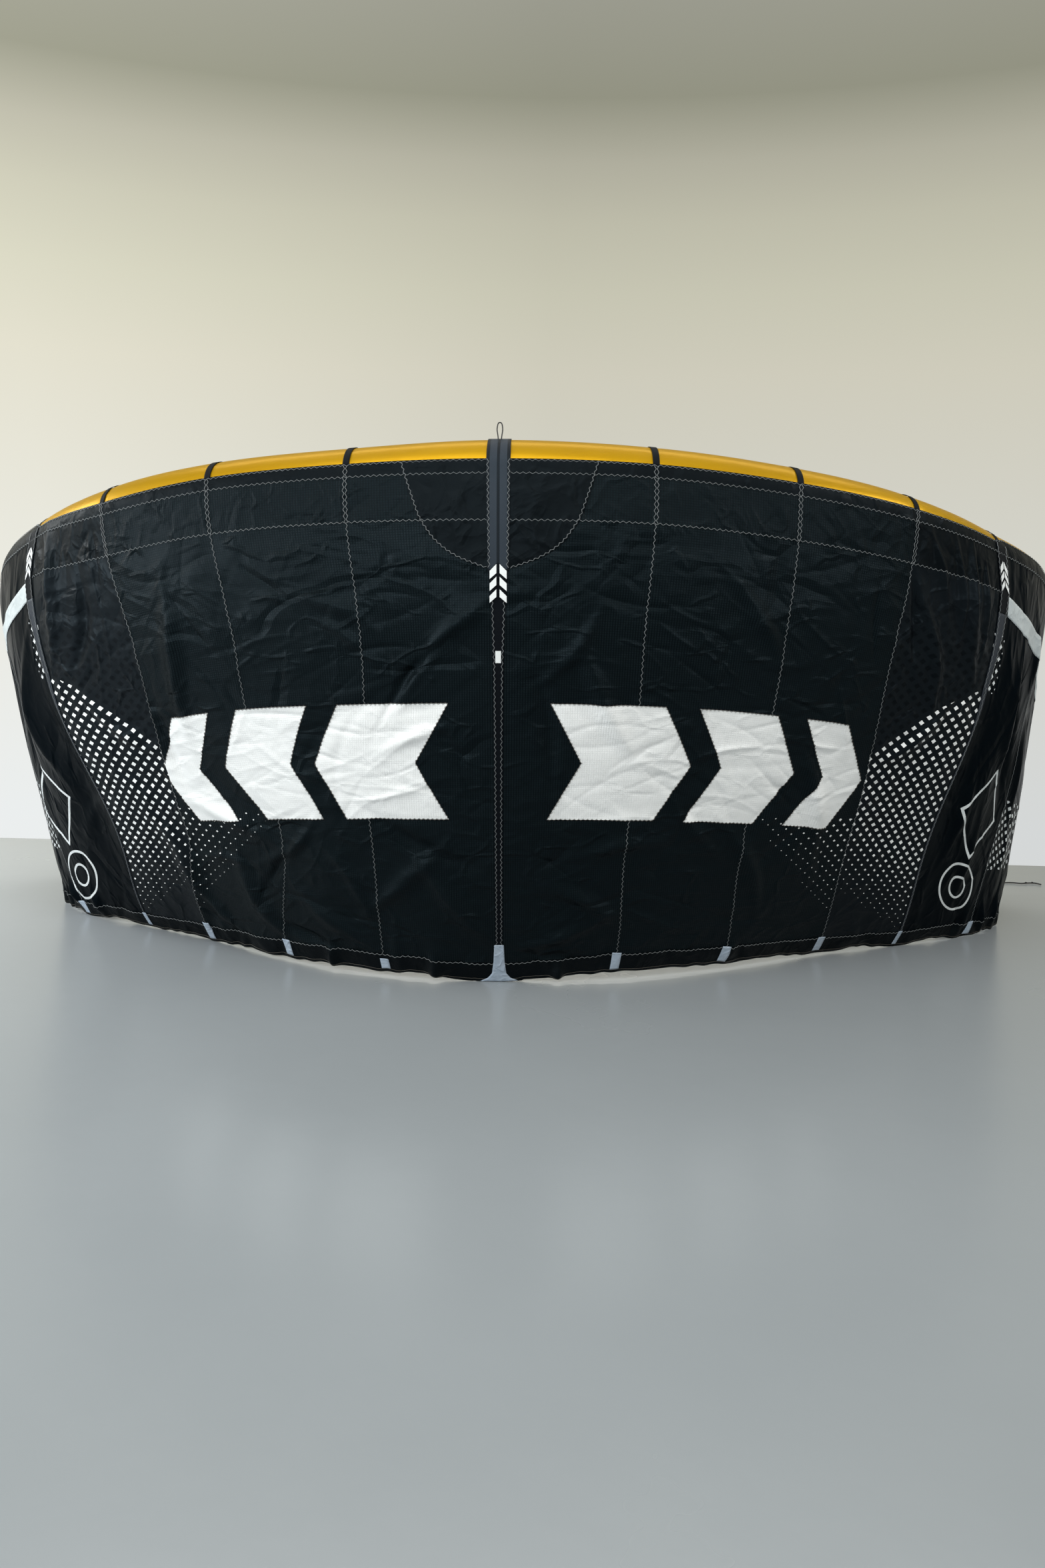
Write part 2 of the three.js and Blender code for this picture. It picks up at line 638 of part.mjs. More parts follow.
/** A short tab over a seam's foot. lean is how far its foot leans sideways. */
function tabGeometry(span, lean) {
  const downs = between(DOWN_KNOTS, TAB_FROM, TAB_TO);
  const perSpan = millimetresPerSpan(span, 0.98);
  const place = (row, col) => {
    const part = (downs[row] - TAB_FROM) / (TAB_TO - TAB_FROM);
    const aside = lean * part + TAB_HALF_WIDTH * (col - 1);
    return { span: span + aside / perSpan, down: downs[row] };
  };
  return sheetGeometry(downs.length, 3, place, HEM / 2 + LAYER, TRIM);
}

for (const side of SIDES) {
  add(`strut_band_${side.name}`, stripGeometry(
    side.sign * STRUT, 0.004, 0.948,
    (down) => THREE.MathUtils.lerp(STRUT_BAND_TOP, STRUT_BAND_LOW, Math.sqrt(down)),
    OVER, 3, [0.055],
  ), 'tape');
  add(`flash_${side.name}`, flashGeometry(side), 'white');
  TAB_SHIFT[side.name].forEach((lean, index) => {
    add(`tab_${side.name}_${index + 1}`, tabGeometry(side.sign * (index + 1), lean), 'white');
  });
}

const FOOT = [
  { down: FOOT_START, half: 15 },
  { down: 0.965, half: 18 },
  { down: 0.984, half: 24 },
  { down: 0.9965, half: 52 },
];

function footGeometry() {
  const perSpan = millimetresPerSpan(0, 0.97);
  const place = (row, col) => ({
    span: (FOOT[row].half * (col - 2)) / 2 / perSpan,
    down: FOOT[row].down,
  });
  return sheetGeometry(FOOT.length, 5, place, HEM / 2 + LAYER, TRIM);
}
add('centre_foot', footGeometry(), 'white');

const LABEL = { down: 0.345, half: 7, high: 26 };
const LABEL_LEVEL = OVER + TRIM + LAYER;
function labelGeometry() {
  const perSpan = millimetresPerSpan(0, LABEL.down);
  const chord = leadPoint(0).distanceTo(trailPoint(0));
  const place = (row, col) => ({
    span: (LABEL.half * (2 * col - 1)) / perSpan,
    down: LABEL.down + (row * LABEL.high) / chord,
  });
  return sheetGeometry(2, 2, place, LABEL_LEVEL, TRIM);
}
add('label_blank', labelGeometry(), 'white');

// ---- Struts on the inner face ----
add('strut_centre', strutGeometry(0), 'gold');
for (const side of SIDES) {
  add(`strut_${side.name}`, strutGeometry(side.sign * STRUT), 'gold');
}

// ---- Cords: a small loop on top of the tube and a pigtail by the right tip ----
const LOOP_CORD = 3;
const LOOP_HEIGHT = 42;
const LOOP_HALF_WIDTH = 7;
const LOOP_ANGLE = 58; // degrees round the tube, as for the tape
const LOOP_SEAT = -0.6; // the cord's ends stand on the tape's flats, inside its round

function loopPoints() {
  const frame = tubeFrame(0);
  const turn = THREE.MathUtils.degToRad(LOOP_ANGLE);
  const rise = TUBE_CLEAR + LAYER + TRIM + LOOP_CORD / 2 + LOOP_SEAT;
  const seat = aroundTube(frame, turn, frame.radius + rise);
  const outline = [[-4, 0], [-5, 8], [-LOOP_HALF_WIDTH, 22], [-5, 35], [0, LOOP_HEIGHT - 3],
    [5, 35], [LOOP_HALF_WIDTH, 22], [5, 8], [4, 0]];
  return outline.map(([x, z]) => [seat.x + x, seat.y - z * 0.1, seat.z + z]);
}
const LOOP_STEPS = 16;
add('loop_cord', cordGeometry(loopPoints(), LOOP_CORD, LOOP_STEPS), 'cord');

const PIGTAIL_CORD = 5;
const PIGTAIL_START = lifted(TIP - 0.03, 0.975, -(HEM / 2 + PIGTAIL_CORD / 2 + 0.7)).toArray();
const PIGTAIL = [
  PIGTAIL_START, [1577, 1146, 10], [1598, 1178, 4], [1640, 1222, 4], [1690, 1268, 4],
  [1752, 1312, 4], [1820, 1350, 4], [1880, 1370, 4], [1925, 1380, 4], [1960, 1384, 4],
  [1990, 1374, 4], [2020, 1384, 4], [2048, 1386, 4], [2066, 1366, 4],
];
const PIGTAIL_STEPS = 40;
add('pigtail_cord', cordGeometry(PIGTAIL, PIGTAIL_CORD, PIGTAIL_STEPS), 'cord');
['loop_cord', 'pigtail_cord'].forEach((name) => cords.add(name));

// ---- Stand the kite over its origin ----
const box = new THREE.Box3();
for (const mesh of kite.children) {
  if (!cords.has(mesh.name)) {
    box.expandByObject(mesh);
  }
}
const middle = box.getCenter(new THREE.Vector3());
kite.position.set(-middle.x, -middle.y, -box.min.z);

export default kite;
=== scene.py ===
# %% [markdown]
# # A kitesurfing kite with an inflated leading edge
# The kite stands on its trailing edge and leans a little towards us. A gold inflated tube
# runs over its top, black canopy cloth hangs from the tube, and both tips curl back.
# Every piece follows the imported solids: it is worked out from the rules that they were
# made by, only finer, and then takes their place in the picture.

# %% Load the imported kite
import math

import bpy
import numpy as np
from mathutils import Matrix, Vector


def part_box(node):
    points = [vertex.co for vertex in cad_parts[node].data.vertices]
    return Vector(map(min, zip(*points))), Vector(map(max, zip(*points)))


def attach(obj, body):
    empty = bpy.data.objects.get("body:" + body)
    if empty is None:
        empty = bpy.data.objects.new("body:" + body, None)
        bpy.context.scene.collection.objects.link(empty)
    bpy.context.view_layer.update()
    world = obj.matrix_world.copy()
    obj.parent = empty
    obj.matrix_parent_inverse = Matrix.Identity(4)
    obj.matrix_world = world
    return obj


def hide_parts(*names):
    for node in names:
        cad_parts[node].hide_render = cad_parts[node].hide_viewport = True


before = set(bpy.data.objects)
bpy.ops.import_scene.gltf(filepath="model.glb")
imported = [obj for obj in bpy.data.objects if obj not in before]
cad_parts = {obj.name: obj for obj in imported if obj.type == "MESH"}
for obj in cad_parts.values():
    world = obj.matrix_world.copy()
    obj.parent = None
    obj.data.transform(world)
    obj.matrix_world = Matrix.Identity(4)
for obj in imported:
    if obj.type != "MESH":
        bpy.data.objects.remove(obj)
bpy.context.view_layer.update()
print("nodes in the frame:", len(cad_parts))

# %% [markdown]
# ## The canopy's sizes
# A kite maker draws a canopy seam by seam. Each row below is one seam, in millimetres:
# where it starts on the leading edge, where it ends on the trailing edge, how far the
# hem is lifted, how far the cloth bulges, how the seam drifts sideways, the tube's
# radius, and the length of cloth that lies on the tube. Everything on the kite is placed
# by its span (seams from the centre, -7 to 7) and its down (0 at the leading edge, 1 at
# the trailing edge), so that a tape, a stitch and a panel always fit each other. The rows
# are those of the solids, but the leading edge lies 22 mm further in at span -5.

# %% The table of seams
MM = 0.001
ORIGIN = np.array([-0.02978, -0.48632, 0.0])  # where the table's zero lies in the frame
TIP = 7  # span of the tips
STRUT = 4  # span of the outer struts
COLUMNS = ("lead_x", "lead_y", "lead_z", "trail_x", "trail_y", "lift", "bulge",
           "drift_up", "drift_low", "tube", "wrap")
SEAMS = (
    (-1590, 1200, 600, -1545, 1130, 0, 8, 0, 0, 46, 11),
    (-1640, 850, 925, -1590, 790, 0, 30, 0, 0, 57, 17),
    (-1612, 475, 1126, -1412, 556, 0, 66, 0, 0, 67, 22),
    (-1364, 190, 1250, -1153, 431, 0, 125, -20, -80, 76, 26),
    (-1095, 0, 1307, -912, 306, 0, 80, -84, -80, 81, 28),
    (-775, -100, 1366, -630, 131, 8, 85, -74, -105, 85, 28),
    (-401, -170, 1397, -326, 19, 12, 105, -45, -20, 88, 20),
    (-16, -205, 1411, -3, 2, 0, 115, 0, 0, 90, 12),
    (374, -170, 1408, 323, 50, 22, 105, -28, -24, 88, 20),
    (745, -100, 1377, 647, 175, 16, 85, -27, -44, 85, 32),
    (1073, 0, 1327, 960, 345, 5, 80, -45, -30, 79, 37),
    (1361, 190, 1258, 1235, 469, 0, 90, 0, -42, 75, 32),
    (1620, 470, 1150, 1507, 609, 0, 50, -42, -22, 67, 22),
    (1680, 850, 935, 1672, 796, 0, 38, 0, 0, 57, 17),
    (1620, 1200, 600, 1585, 1130, 0, 8, 0, 0, 46, 11),
)
TABLE = {name: np.array([row[i] for row in SEAMS], float) * MM for i, name in enumerate(COLUMNS)}
BAND_END = 0.026  # down: the lower edge of the leading-edge band
FRONT_END = 0.102  # down: the lower edge of the front row
HEM_START = 0.954  # down: the upper edge of the hem
SIDES = (("left", -1), ("right", 1))  # a side's name, and the sign of its spans
print("seams:", len(SEAMS))


# %% Read a column of the table at any span
def column(name, span):
    """A smooth curve through one column of the table."""
    values = TABLE[name]
    last = len(values) - 1
    place = np.clip(np.asarray(span, float) + TIP, 0, last)
    row = np.minimum(np.floor(place), last - 1).astype(int)
    part = place - row
    before, start, end, after = (values[np.clip(row + k, 0, last)] for k in (-1, 0, 1, 2))
    leave = (end - before) / np.where(row > 0, 2, 1)
    arrive = (after - start) / np.where(row < last - 1, 2, 1)
    cubic = 2 * start - 2 * end + leave + arrive
    square = 3 * end - 3 * start - 2 * leave - arrive
    return ((cubic * part + square) * part + leave) * part + start


def lead_point(span):
    return np.stack([column(name, span) for name in ("lead_x", "lead_y", "lead_z")], -1)


def trail_point(span):
    lift = np.maximum(column("lift", span), 0)
    return np.stack([column("trail_x", span), column("trail_y", span), lift], -1)


def unit(vectors):
    return vectors / np.linalg.norm(vectors, axis=-1, keepdims=True)


print("centre chord in metres:", round(float(np.linalg.norm(lead_point(0) - trail_point(0))), 3))

# %% [markdown]
# ## Slack and creases
# Canopy cloth is thin, coated and stiff, so it crumples in short sharp creases where it
# hangs slack. A noise texture would look like clouds, and a cloth simulation would crease
# where it likes. Here each crease is a ridge along a short bent line, with its own place,
# slant, length and height. Those that stand out have a row each, and seeded draws give
# the rest. A few broad folds, which the solids have too, come first.

# %% The large folds, as the solids have them
FOLDS = (  # span, down, across, along, slant, height in mm
    (4.45, 0.42, 0.22, 0.3, 0.1, 20),
    (4.2, 0.5, 0.14, 0.28, 0.1, -12),
    (-4.55, 0.42, 0.25, 0.28, -0.1, 18),
    (-4.2, 0.52, 0.16, 0.26, -0.1, -10),
    (-5.3, 0.86, 0.3, 0.1, 0.4, 10),
    (2.5, 0.72, 0.3, 0.14, -0.8, 8),
    (-2.45, 0.62, 0.3, 0.16, 1.2, -9),
    (-1.5, 0.74, 0.28, 0.12, -0.6, 8),
    (1.5, 0.4, 0.34, 0.12, 0.5, -7),
    (-0.5, 0.9, 0.3, 0.1, 0, 7),
)


def hump(start, end, at):
    """0 outside start and end, and 1 halfway between them."""
    part = np.clip((at - start) / (end - start), 0, 1)
    return np.sin(np.pi * part) ** 2


def fold_height(span, down):
    """Metres that the broad folds raise the cloth there."""
    height = np.zeros(np.broadcast(span, down).shape)
    for place, depth, across, along, slant, rise in FOLDS:
        aside = (span - place - slant * (down - depth)) / across
        height = height + rise * MM * np.exp(-aside**2 - ((down - depth) / along) ** 2)
    return height * hump(-0.5, 1.5, down)


print("large folds:", len(FOLDS))


# %% Metres across and down the cloth
SPAN_STEPS = np.linspace(-TIP, TIP, 561)


def across_table():
    """Metres from the centre seam at each of SPAN_STEPS, half way down the cloth."""
    middle = (lead_point(SPAN_STEPS) + trail_point(SPAN_STEPS)) / 2
    steps = np.linalg.norm(np.diff(middle, axis=0), axis=1)
    run = np.concatenate([[0], np.cumsum(steps)])
    return run - np.interp(0, SPAN_STEPS, run)


ACROSS = across_table()


def metres_across(span):
    return np.interp(span, SPAN_STEPS, ACROSS)


def chord(span):
    """Metres from the leading edge straight to the trailing edge."""
    return np.linalg.norm(lead_point(span) - trail_point(span), axis=-1)


print("half span in metres:", round(float(metres_across(TIP)), 2))

# %% The list of creases
CREASE_SEED = 11
# Where: span from and to, down from and to, how many, slant in degrees and its spread,
# half length in mm from and to, half width in mm, height in mm, and how sharp (1) or round (0).
CREASE_AREAS = (
    (-3, 0, 0.12, 0.62, 120, -8, 26, 40, 180, 6.0, 3.0, 1),
    (0, 3, 0.12, 0.62, 120, 8, 26, 40, 180, 6.0, 3.0, 1),
    (-3, 3, 0.55, 0.95, 110, 0, 32, 50, 200, 7.0, 2.8, 1),
    (-4, -3, 0.12, 0.6, 60, -40, 40, 25, 120, 6.0, 2.8, 1),
    (3, 4, 0.12, 0.6, 60, 50, 35, 25, 120, 6.0, 2.8, 1),
    (-4, 4, 0.03, 0.11, 170, 60, 45, 14, 50, 4.5, 2.4, 1),
    (3.1, 4, 0.03, 0.22, 16, 78, 12, 60, 140, 9.0, 4.0, 1),
    (-4, -3.1, 0.03, 0.22, 14, -78, 12, 50, 120, 9.0, 4.0, 1),
    (-6.6, -4, 0.06, 0.95, 60, -70, 30, 50, 190, 8.0, 3.2, 1),
    (4, 6.6, 0.06, 0.95, 60, 74, 28, 50, 190, 8.0, 3.2, 1),
    (-6, 6, 0.93, 1.0, 110, 60, 60, 20, 60, 6.0, 2.4, 1),
    (-4, 4, 0.12, 0.95, 70, 0, 40, 90, 300, 20.0, 3.2, 0),
    (-6.5, -4, 0.08, 0.95, 26, -70, 25, 90, 260, 22.0, 5.0, 0),
    (4, 6.5, 0.08, 0.95, 26, 74, 25, 90, 260, 22.0, 5.0, 0),
    (-6, 6, 0.94, 1.03, 50, 90, 22, 40, 110, 24.0, 8.0, 0),
)
# The creases that stand out: span, down, half length in mm, slant in degrees, half width in mm,
# height in mm (below zero for a valley), sharp (1) or round (0). Slant grows clockwise.
LARGE_CREASES = (
    (-0.34, 0.29, 190, -41, 28, 9, 0), (-0.62, 0.36, 150, -46, 18, -6, 0), (-0.4, 0.2, 70, 6, 6, -3, 1),
    (-1.75, 0.44, 120, 4, 6, -4, 1), (-1.2, 0.475, 90, 12, 6, -3.5, 1), (-1.65, 0.36, 80, -4, 6, 3, 1),
    (-1.8, 0.3, 90, -12, 6, 3.5, 1), (-2.2, 0.2, 80, 38, 7, 3.5, 1), (-2.35, 0.26, 100, 60, 8, -4, 1),
    (-2.6, 0.33, 220, 96, 34, 10, 0), (-2.9, 0.5, 150, 80, 26, -7, 0), (-1.2, 0.24, 130, 22, 26, 6, 0),
    (-0.35, 0.82, 210, 54, 34, 10, 0), (-0.75, 0.78, 170, -40, 30, 8, 0), (-1.5, 0.88, 150, 34, 32, 9, 0),
    (-2.3, 0.85, 170, 60, 34, 10, 0), (-0.5, 0.9, 90, 10, 7, 3, 1), (-0.3, 0.86, 80, 24, 6, 3, 1),
    (0.45, 0.74, 110, 34, 6, -4, 1), (0.7, 0.82, 140, 30, 28, 8, 0), (1.25, 0.87, 120, 22, 7, 4, 1),
    (1.45, 0.83, 110, 18, 6, -3.5, 1), (1.0, 0.7, 130, -10, 24, 6, 0), (0.75, 0.42, 160, 62, 30, 8, 0),
    (0.35, 0.46, 150, 80, 26, -6, 0), (1.25, 0.3, 80, 30, 6, 3.5, 1), (1.4, 0.36, 90, 34, 6, -3.5, 1),
    (1.15, 0.4, 90, 26, 6, 3, 1), (2.3, 0.27, 90, 30, 8, 4.5, 1), (2.5, 0.33, 80, -40, 8, 4, 1),
    (2.2, 0.4, 100, 16, 7, -4, 1), (2.65, 0.42, 90, 70, 8, 4.5, 1), (2.4, 0.48, 100, 4, 7, 4, 1),
    (2.75, 0.22, 110, 80, 9, -5, 1), (1.8, 0.25, 120, 50, 24, 7, 0), (2.55, 0.6, 160, 70, 30, 8, 0),
    (-3.75, 0.15, 190, -84, 26, 11, 0), (-3.45, 0.22, 150, -70, 22, -8, 0), (3.7, 0.16, 180, 82, 26, 10, 0),
    (3.4, 0.45, 120, -50, 22, 7, 0), (-3.4, 0.45, 130, 50, 22, 7, 0), (-3.05, 0.8, 230, 76, 44, 13, 0),
    (-2.45, 0.66, 150, 30, 30, 8, 0), (-1.9, 0.72, 130, -30, 24, 7, 0), (-0.6, 0.7, 160, 28, 24, -7, 0),
    (0.5, 0.9, 150, -20, 24, 7, 0), (1.6, 0.68, 120, 40, 20, 6, 0), (2.1, 0.75, 160, 64, 28, 8, 0),
    (-0.6, 0.48, 120, -20, 20, 5, 0), (0.5, 0.33, 130, -50, 22, 6, 0), (-1.1, 0.3, 110, 40, 18, 5, 0),
    (-5.1, 0.93, 60, 70, 16, 14, 0), (-5.35, 0.96, 50, 100, 14, -12, 0), (-4.7, 0.95, 60, 80, 18, 12, 0),
    (5.2, 0.95, 60, 76, 16, 12, 0), (4.75, 0.96, 50, 110, 16, -9, 0), (5.5, 0.93, 60, 90, 14, 10, 0),
    (-0.55, 0.985, 60, 90, 24, 12, 0), (-1.5, 0.98, 60, 84, 22, 10, 0), (0.5, 0.99, 50, 96, 20, 9, 0),
    (3.55, 0.13, 120, 78, 13, 9, 0), (3.72, 0.1, 110, 82, 10, -8, 0), (3.86, 0.15, 110, 85, 11, 8, 0),
    (3.3, 0.1, 90, 64, 12, 7, 0), (3.15, 0.2, 130, 74, 14, -8, 0), (3.4, 0.26, 150, 70, 18, 9, 0),
    (4.5, 0.35, 190, 84, 22, 14, 0), (4.75, 0.42, 200, 80, 24, -13, 0), (4.35, 0.62, 160, 88, 18, 10, 0),
    (5.1, 0.5, 200, 84, 24, 13, 0), (4.6, 0.75, 150, 92, 20, 9, 0), (4.9, 0.2, 120, 70, 18, 9, 0),
    (-4.5, 0.4, 190, -84, 22, 12, 0), (-4.8, 0.5, 200, -80, 24, -11, 0), (-5.1, 0.35, 180, -86, 22, 11, 0),
    (-5.1, 0.33, 210, -88, 150, -17, 0), (-2.75, 0.9, 120, 50, 22, 7, 0), (-1.75, 0.93, 120, 20, 20, -6, 0),
    (-2.1, 0.78, 120, -60, 20, -6, 0), (-1.2, 0.8, 130, 60, 24, 6, 0), (-2.6, 0.75, 100, 10, 18, 5, 0),
    (-0.9, 0.32, 130, -6, 9, -5, 1), (-1.4, 0.52, 110, 20, 8, -4, 1), (-0.8, 0.6, 150, -12, 9, 4, 1),
    (0.9, 0.24, 120, 8, 9, -5, 1), (1.7, 0.5, 140, -14, 9, 4.5, 1), (2.2, 0.58, 120, 40, 8, -4, 1),
)
LARGE_RISE = 1.4  # how much higher the large creases are made than their rows say
ROUND_RISE = 1.9  # the same for the round ones between the struts
ROUND_WIDTH = 0.85  # and how much narrower those are


def crease_rows(span, down, angle, length, width, height, bend, sharp):
    return np.stack([metres_across(span), down * chord(span), angle, length, width, height, bend, sharp], -1)


def make_creases():
    """Rows of metres across and down, angle, half length, half width, height, bend and sharpness."""
    chance = np.random.default_rng(CREASE_SEED)
    rows = []
    for low, high, top, foot, count, slant, spread, short, long_, wide, rise, sharp in CREASE_AREAS:
        span = chance.uniform(low, high, count)
        down = chance.uniform(top, foot, count)
        angle = np.radians(slant + spread * chance.standard_normal(count))
        length = chance.uniform(short, long_, count) * MM
        width = wide * MM * chance.uniform(0.6, 1.5, count)
        height = rise * MM * chance.uniform(0.3, 1, count) * chance.choice([-1, 1], count)
        bend = chance.uniform(-2.2, 2.2, count)
        rows.append(crease_rows(span, down, angle, length, width, height, bend, np.full(count, sharp)))
    span, down, length, slant, width, height, sharp = np.array(LARGE_CREASES, float).T
    round_one = (sharp < 0.5) & (np.abs(span) < STRUT)
    height = height * np.where(round_one, ROUND_RISE, LARGE_RISE)
    width = width * np.where(round_one, ROUND_WIDTH, 1)
    bend = chance.uniform(-1.5, 1.5, len(span))
    rows.append(crease_rows(span, down, np.radians(slant), length * MM, width * MM, height * MM, bend, sharp))
    return np.concatenate(rows)


CREASES = make_creases()
print("creases:", len(CREASES))


# %% The height of the creases at any place
CREASE_REACH = 2.2  # half lengths: past this a crease is flat
STRUT_HOLD = 0.11  # span: how near a strut the cloth stays smooth
TUBE_FADE = 0.06  # metres from the tube to where a crease has its full height
TUBE_SHARE = 0.6  # how much of its height it keeps on the tube


def crease_height(span, down):
    """Each crease is a ridge or valley along a bent line, fading at its ends. None where a strut
    holds the cloth, and only outward ones where it lies on the tube."""
    u = metres_across(span)
    v = down * chord(span)
    total = np.zeros(u.shape)
    for place_u, place_v, angle, length, width, height, bend, sharp in CREASES:
        near = np.maximum(np.abs(u - place_u), np.abs(v - place_v)) < CREASE_REACH * length
        if not near.any():
            continue
        du, dv = u[near] - place_u, v[near] - place_v
        along = du * math.cos(angle) + dv * math.sin(angle)
        aside = dv * math.cos(angle) - du * math.sin(angle) - bend * along**2
        fade = np.exp(-((along / length) ** 2) * 1.6)
        away = np.abs(aside) / (width * (0.6 + 0.4 * fade))
        total[near] += height * fade * (np.exp(-away) if sharp else np.exp(-(away**2)))
    for strut_span in (-STRUT, 0, STRUT):
        total *= 1 - np.exp(-(((span - strut_span) / STRUT_HOLD) ** 2))
    near_tube = np.clip(1 - (v - column("wrap", span)) / TUBE_FADE, 0, 1)
    return total * (1 - near_tube) + np.abs(total) * near_tube * TUBE_SHARE


print("crease at one place, mm:", np.round(crease_height(np.array([0.5]), np.array([0.4])) / MM, 2))

# %% [markdown]
# ## The canopy surface
# Between the two edges the cloth is a bulged ruled surface. Near the leading edge it
# lies round the tube. It could be modelled by hand, but then each tape and stitch would
# have to be fitted to it. Here one function gives any point on it, at any height above it.


# %% Points and normals of the canopy
CAMBER_PEAK = 0.36  # down: where the cloth bulges most
DRIFT_UP = (0, 0.66)  # down: where a seam's upper drift starts and ends
DRIFT_LOW = (0.34, 1)  # and its lower drift


def fullness(down):
    """How much of its bulge the cloth has there: two parabolas that meet at the peak."""
    peak = CAMBER_PEAK
    front = (2 * peak * down - down**2) / peak**2
    back = (1 - 2 * peak + 2 * peak * down - down**2) / (1 - peak) ** 2
    return np.where(down < peak, front, back)


def open_point(span, down):
    """The cloth's middle away from the tube, from the seams' curves."""
    lead, trail = lead_point(span), trail_point(span)
    sideways = trail_point(np.minimum(span + 0.05, TIP)) - trail_point(np.maximum(span - 0.05, -TIP))
    sideways[..., 2] = 0
    sideways = unit(sideways)
    outward = unit(np.cross(trail - lead, sideways))
    bulge = column("bulge", span) * fullness(down) + fold_height(span, down)
    drift = (column("drift_up", span) * hump(*DRIFT_UP, down)
             + column("drift_low", span) * hump(*DRIFT_LOW, down))
    return (lead + (trail - lead) * down[..., None] + outward * bulge[..., None]
            + sideways * (drift * np.sign(span))[..., None])


def open_normal(span, down):
    step = 0.01
    across = open_point(np.minimum(span + step, TIP), down) - open_point(np.maximum(span - step, -TIP), down)
    along = open_point(span, np.minimum(down + step, 1)) - open_point(span, np.maximum(down - step, 0))
    return unit(np.cross(along, across))


# %% The leading-edge tube's middle line and directions
TUBE_CLEAR = 0.0008  # metres between the tube and the cloth on it
CLOTH = 0.0015  # metres: how thick the solids make the cloth


def dot(a, b):
    return np.sum(a * b, axis=-1, keepdims=True)


def tube_frame(span):
    """The tube's middle, its directions and radius there, and where the cloth leaves it."""
    leaves = column("wrap", span) / chord(span)
    axis = unit(lead_point(np.minimum(span + 0.05, TIP)) - lead_point(np.maximum(span - 0.05, -TIP)))
    out = open_normal(span, leaves)
    out = unit(out - axis * dot(out, axis))
    up = -unit(np.cross(axis, out))
    radius = column("tube", span)
    reach = radius + TUBE_CLEAR + CLOTH / 2
    middle = open_point(span, leaves) - out * reach[..., None]
    return {"axis": axis, "out": out, "up": up, "radius": radius, "reach": reach, "middle": middle,
            "leaves": leaves, "edge": leaves * chord(span) / reach}


def around_tube(tube, angle, height):
    """A point at an angle round the tube, from where the canopy leaves it."""
    out, up = height * np.cos(angle), height * np.sin(angle)
    return tube["middle"] + tube["out"] * out[..., None] + tube["up"] * up[..., None]


# %% Where the hem rises off the floor between its tabs
HEM_UNEVEN = 0.0016  # metres
FOOT_HOLDS = 0.2  # span: how near the centre the hem lies even
ARCH_START = 0.86  # down: above this the arches have faded out
HEM_ARCHES = (  # span, half width in span, rise in mm
    (-4.5, 0.36, 12), (-3.45, 0.42, 3), (-2.5, 0.4, 2.5), (-1.5, 0.4, 4), (-0.68, 0.3, 9), (-5.25, 0.2, 7),
    (0.5, 0.3, 4), (2.5, 0.4, 6), (3.5, 0.4, 9), (4.5, 0.36, 10), (5.3, 0.2, 7),
)


def hem_rise(span, down):
    """Metres that the hem rises: its arches and a small unevenness, both fading out above it."""
    rise = HEM_UNEVEN * (1 + np.sin(span * 23 + 2 * np.sin(span * 7))) * (np.abs(span) > FOOT_HOLDS)
    for place, half, height in HEM_ARCHES:
        rise = rise + height * MM * np.cos(np.pi / 2 * np.clip((span - place) / half, -1, 1)) ** 2
    return rise * np.clip((down - ARCH_START) / (1 - ARCH_START), 0, 1) ** 2


# %% Any point of the kite's skin
FLOOR_CLEAR = 0.0002  # metres that the hem stays over the floor
LIFT_START = 0.9  # down: above this the cloth's lowest place is the floor, whatever the hem's lift


def canopy(span, down, height=0.0, creased=True):
    """Points at a height over the cloth's middle, in the frame. None is lower than its place on the
    floor, or than the hem's lift."""
    span, down = np.broadcast_arrays(np.asarray(span, float), np.asarray(down, float))
    span, down = span.copy(), down.copy()
    point, normal = open_point(span, down), open_normal(span, down)
    tube = tube_frame(span)
    wrapped = down < tube["leaves"]
    if wrapped.any():
        angle = tube["edge"] * (1 - down / tube["leaves"])
        rolled = around_tube(tube, angle, tube["reach"])
        normal = np.where(wrapped[..., None], unit(rolled - tube["middle"]), normal)
        point = np.where(wrapped[..., None], rolled, point)
    rise = np.broadcast_to(np.asarray(height, float), span.shape).copy()
    if creased:
        rise = rise + crease_height(span, down) * hump(-0.02, 0.06, np.minimum(down, 0.02))
    point = point + normal * rise[..., None]
    lift = column("lift", span)
    lowest = np.maximum(lift, 0) * np.clip((down - LIFT_START) / (1 - LIFT_START), 0, 1) + FLOOR_CLEAR
    edge = np.maximum(lift, FLOOR_CLEAR)
    point[..., 2] = np.where(down > 1 - 1e-6, edge, np.maximum(point[..., 2], lowest)) + hem_rise(span, down)
    return point + ORIGIN


print("canopy at the centre:", np.round(canopy(0.0, 0.5), 3))

# %% [markdown]
# ## Camera
# The camera stands about 3 m in front of the cloth, as high as the eyes of someone who
# sits, and looks slightly down with a wide lens. It comes before any piece, so that each
# piece can be judged in the view that counts.


# %% Camera
def add_object(name, data):
    """Makes an object from a mesh, a curve, a lamp or a camera, and links it to the scene."""
    made = bpy.data.objects.new(name, data)
    bpy.context.scene.collection.objects.link(made)
    return made


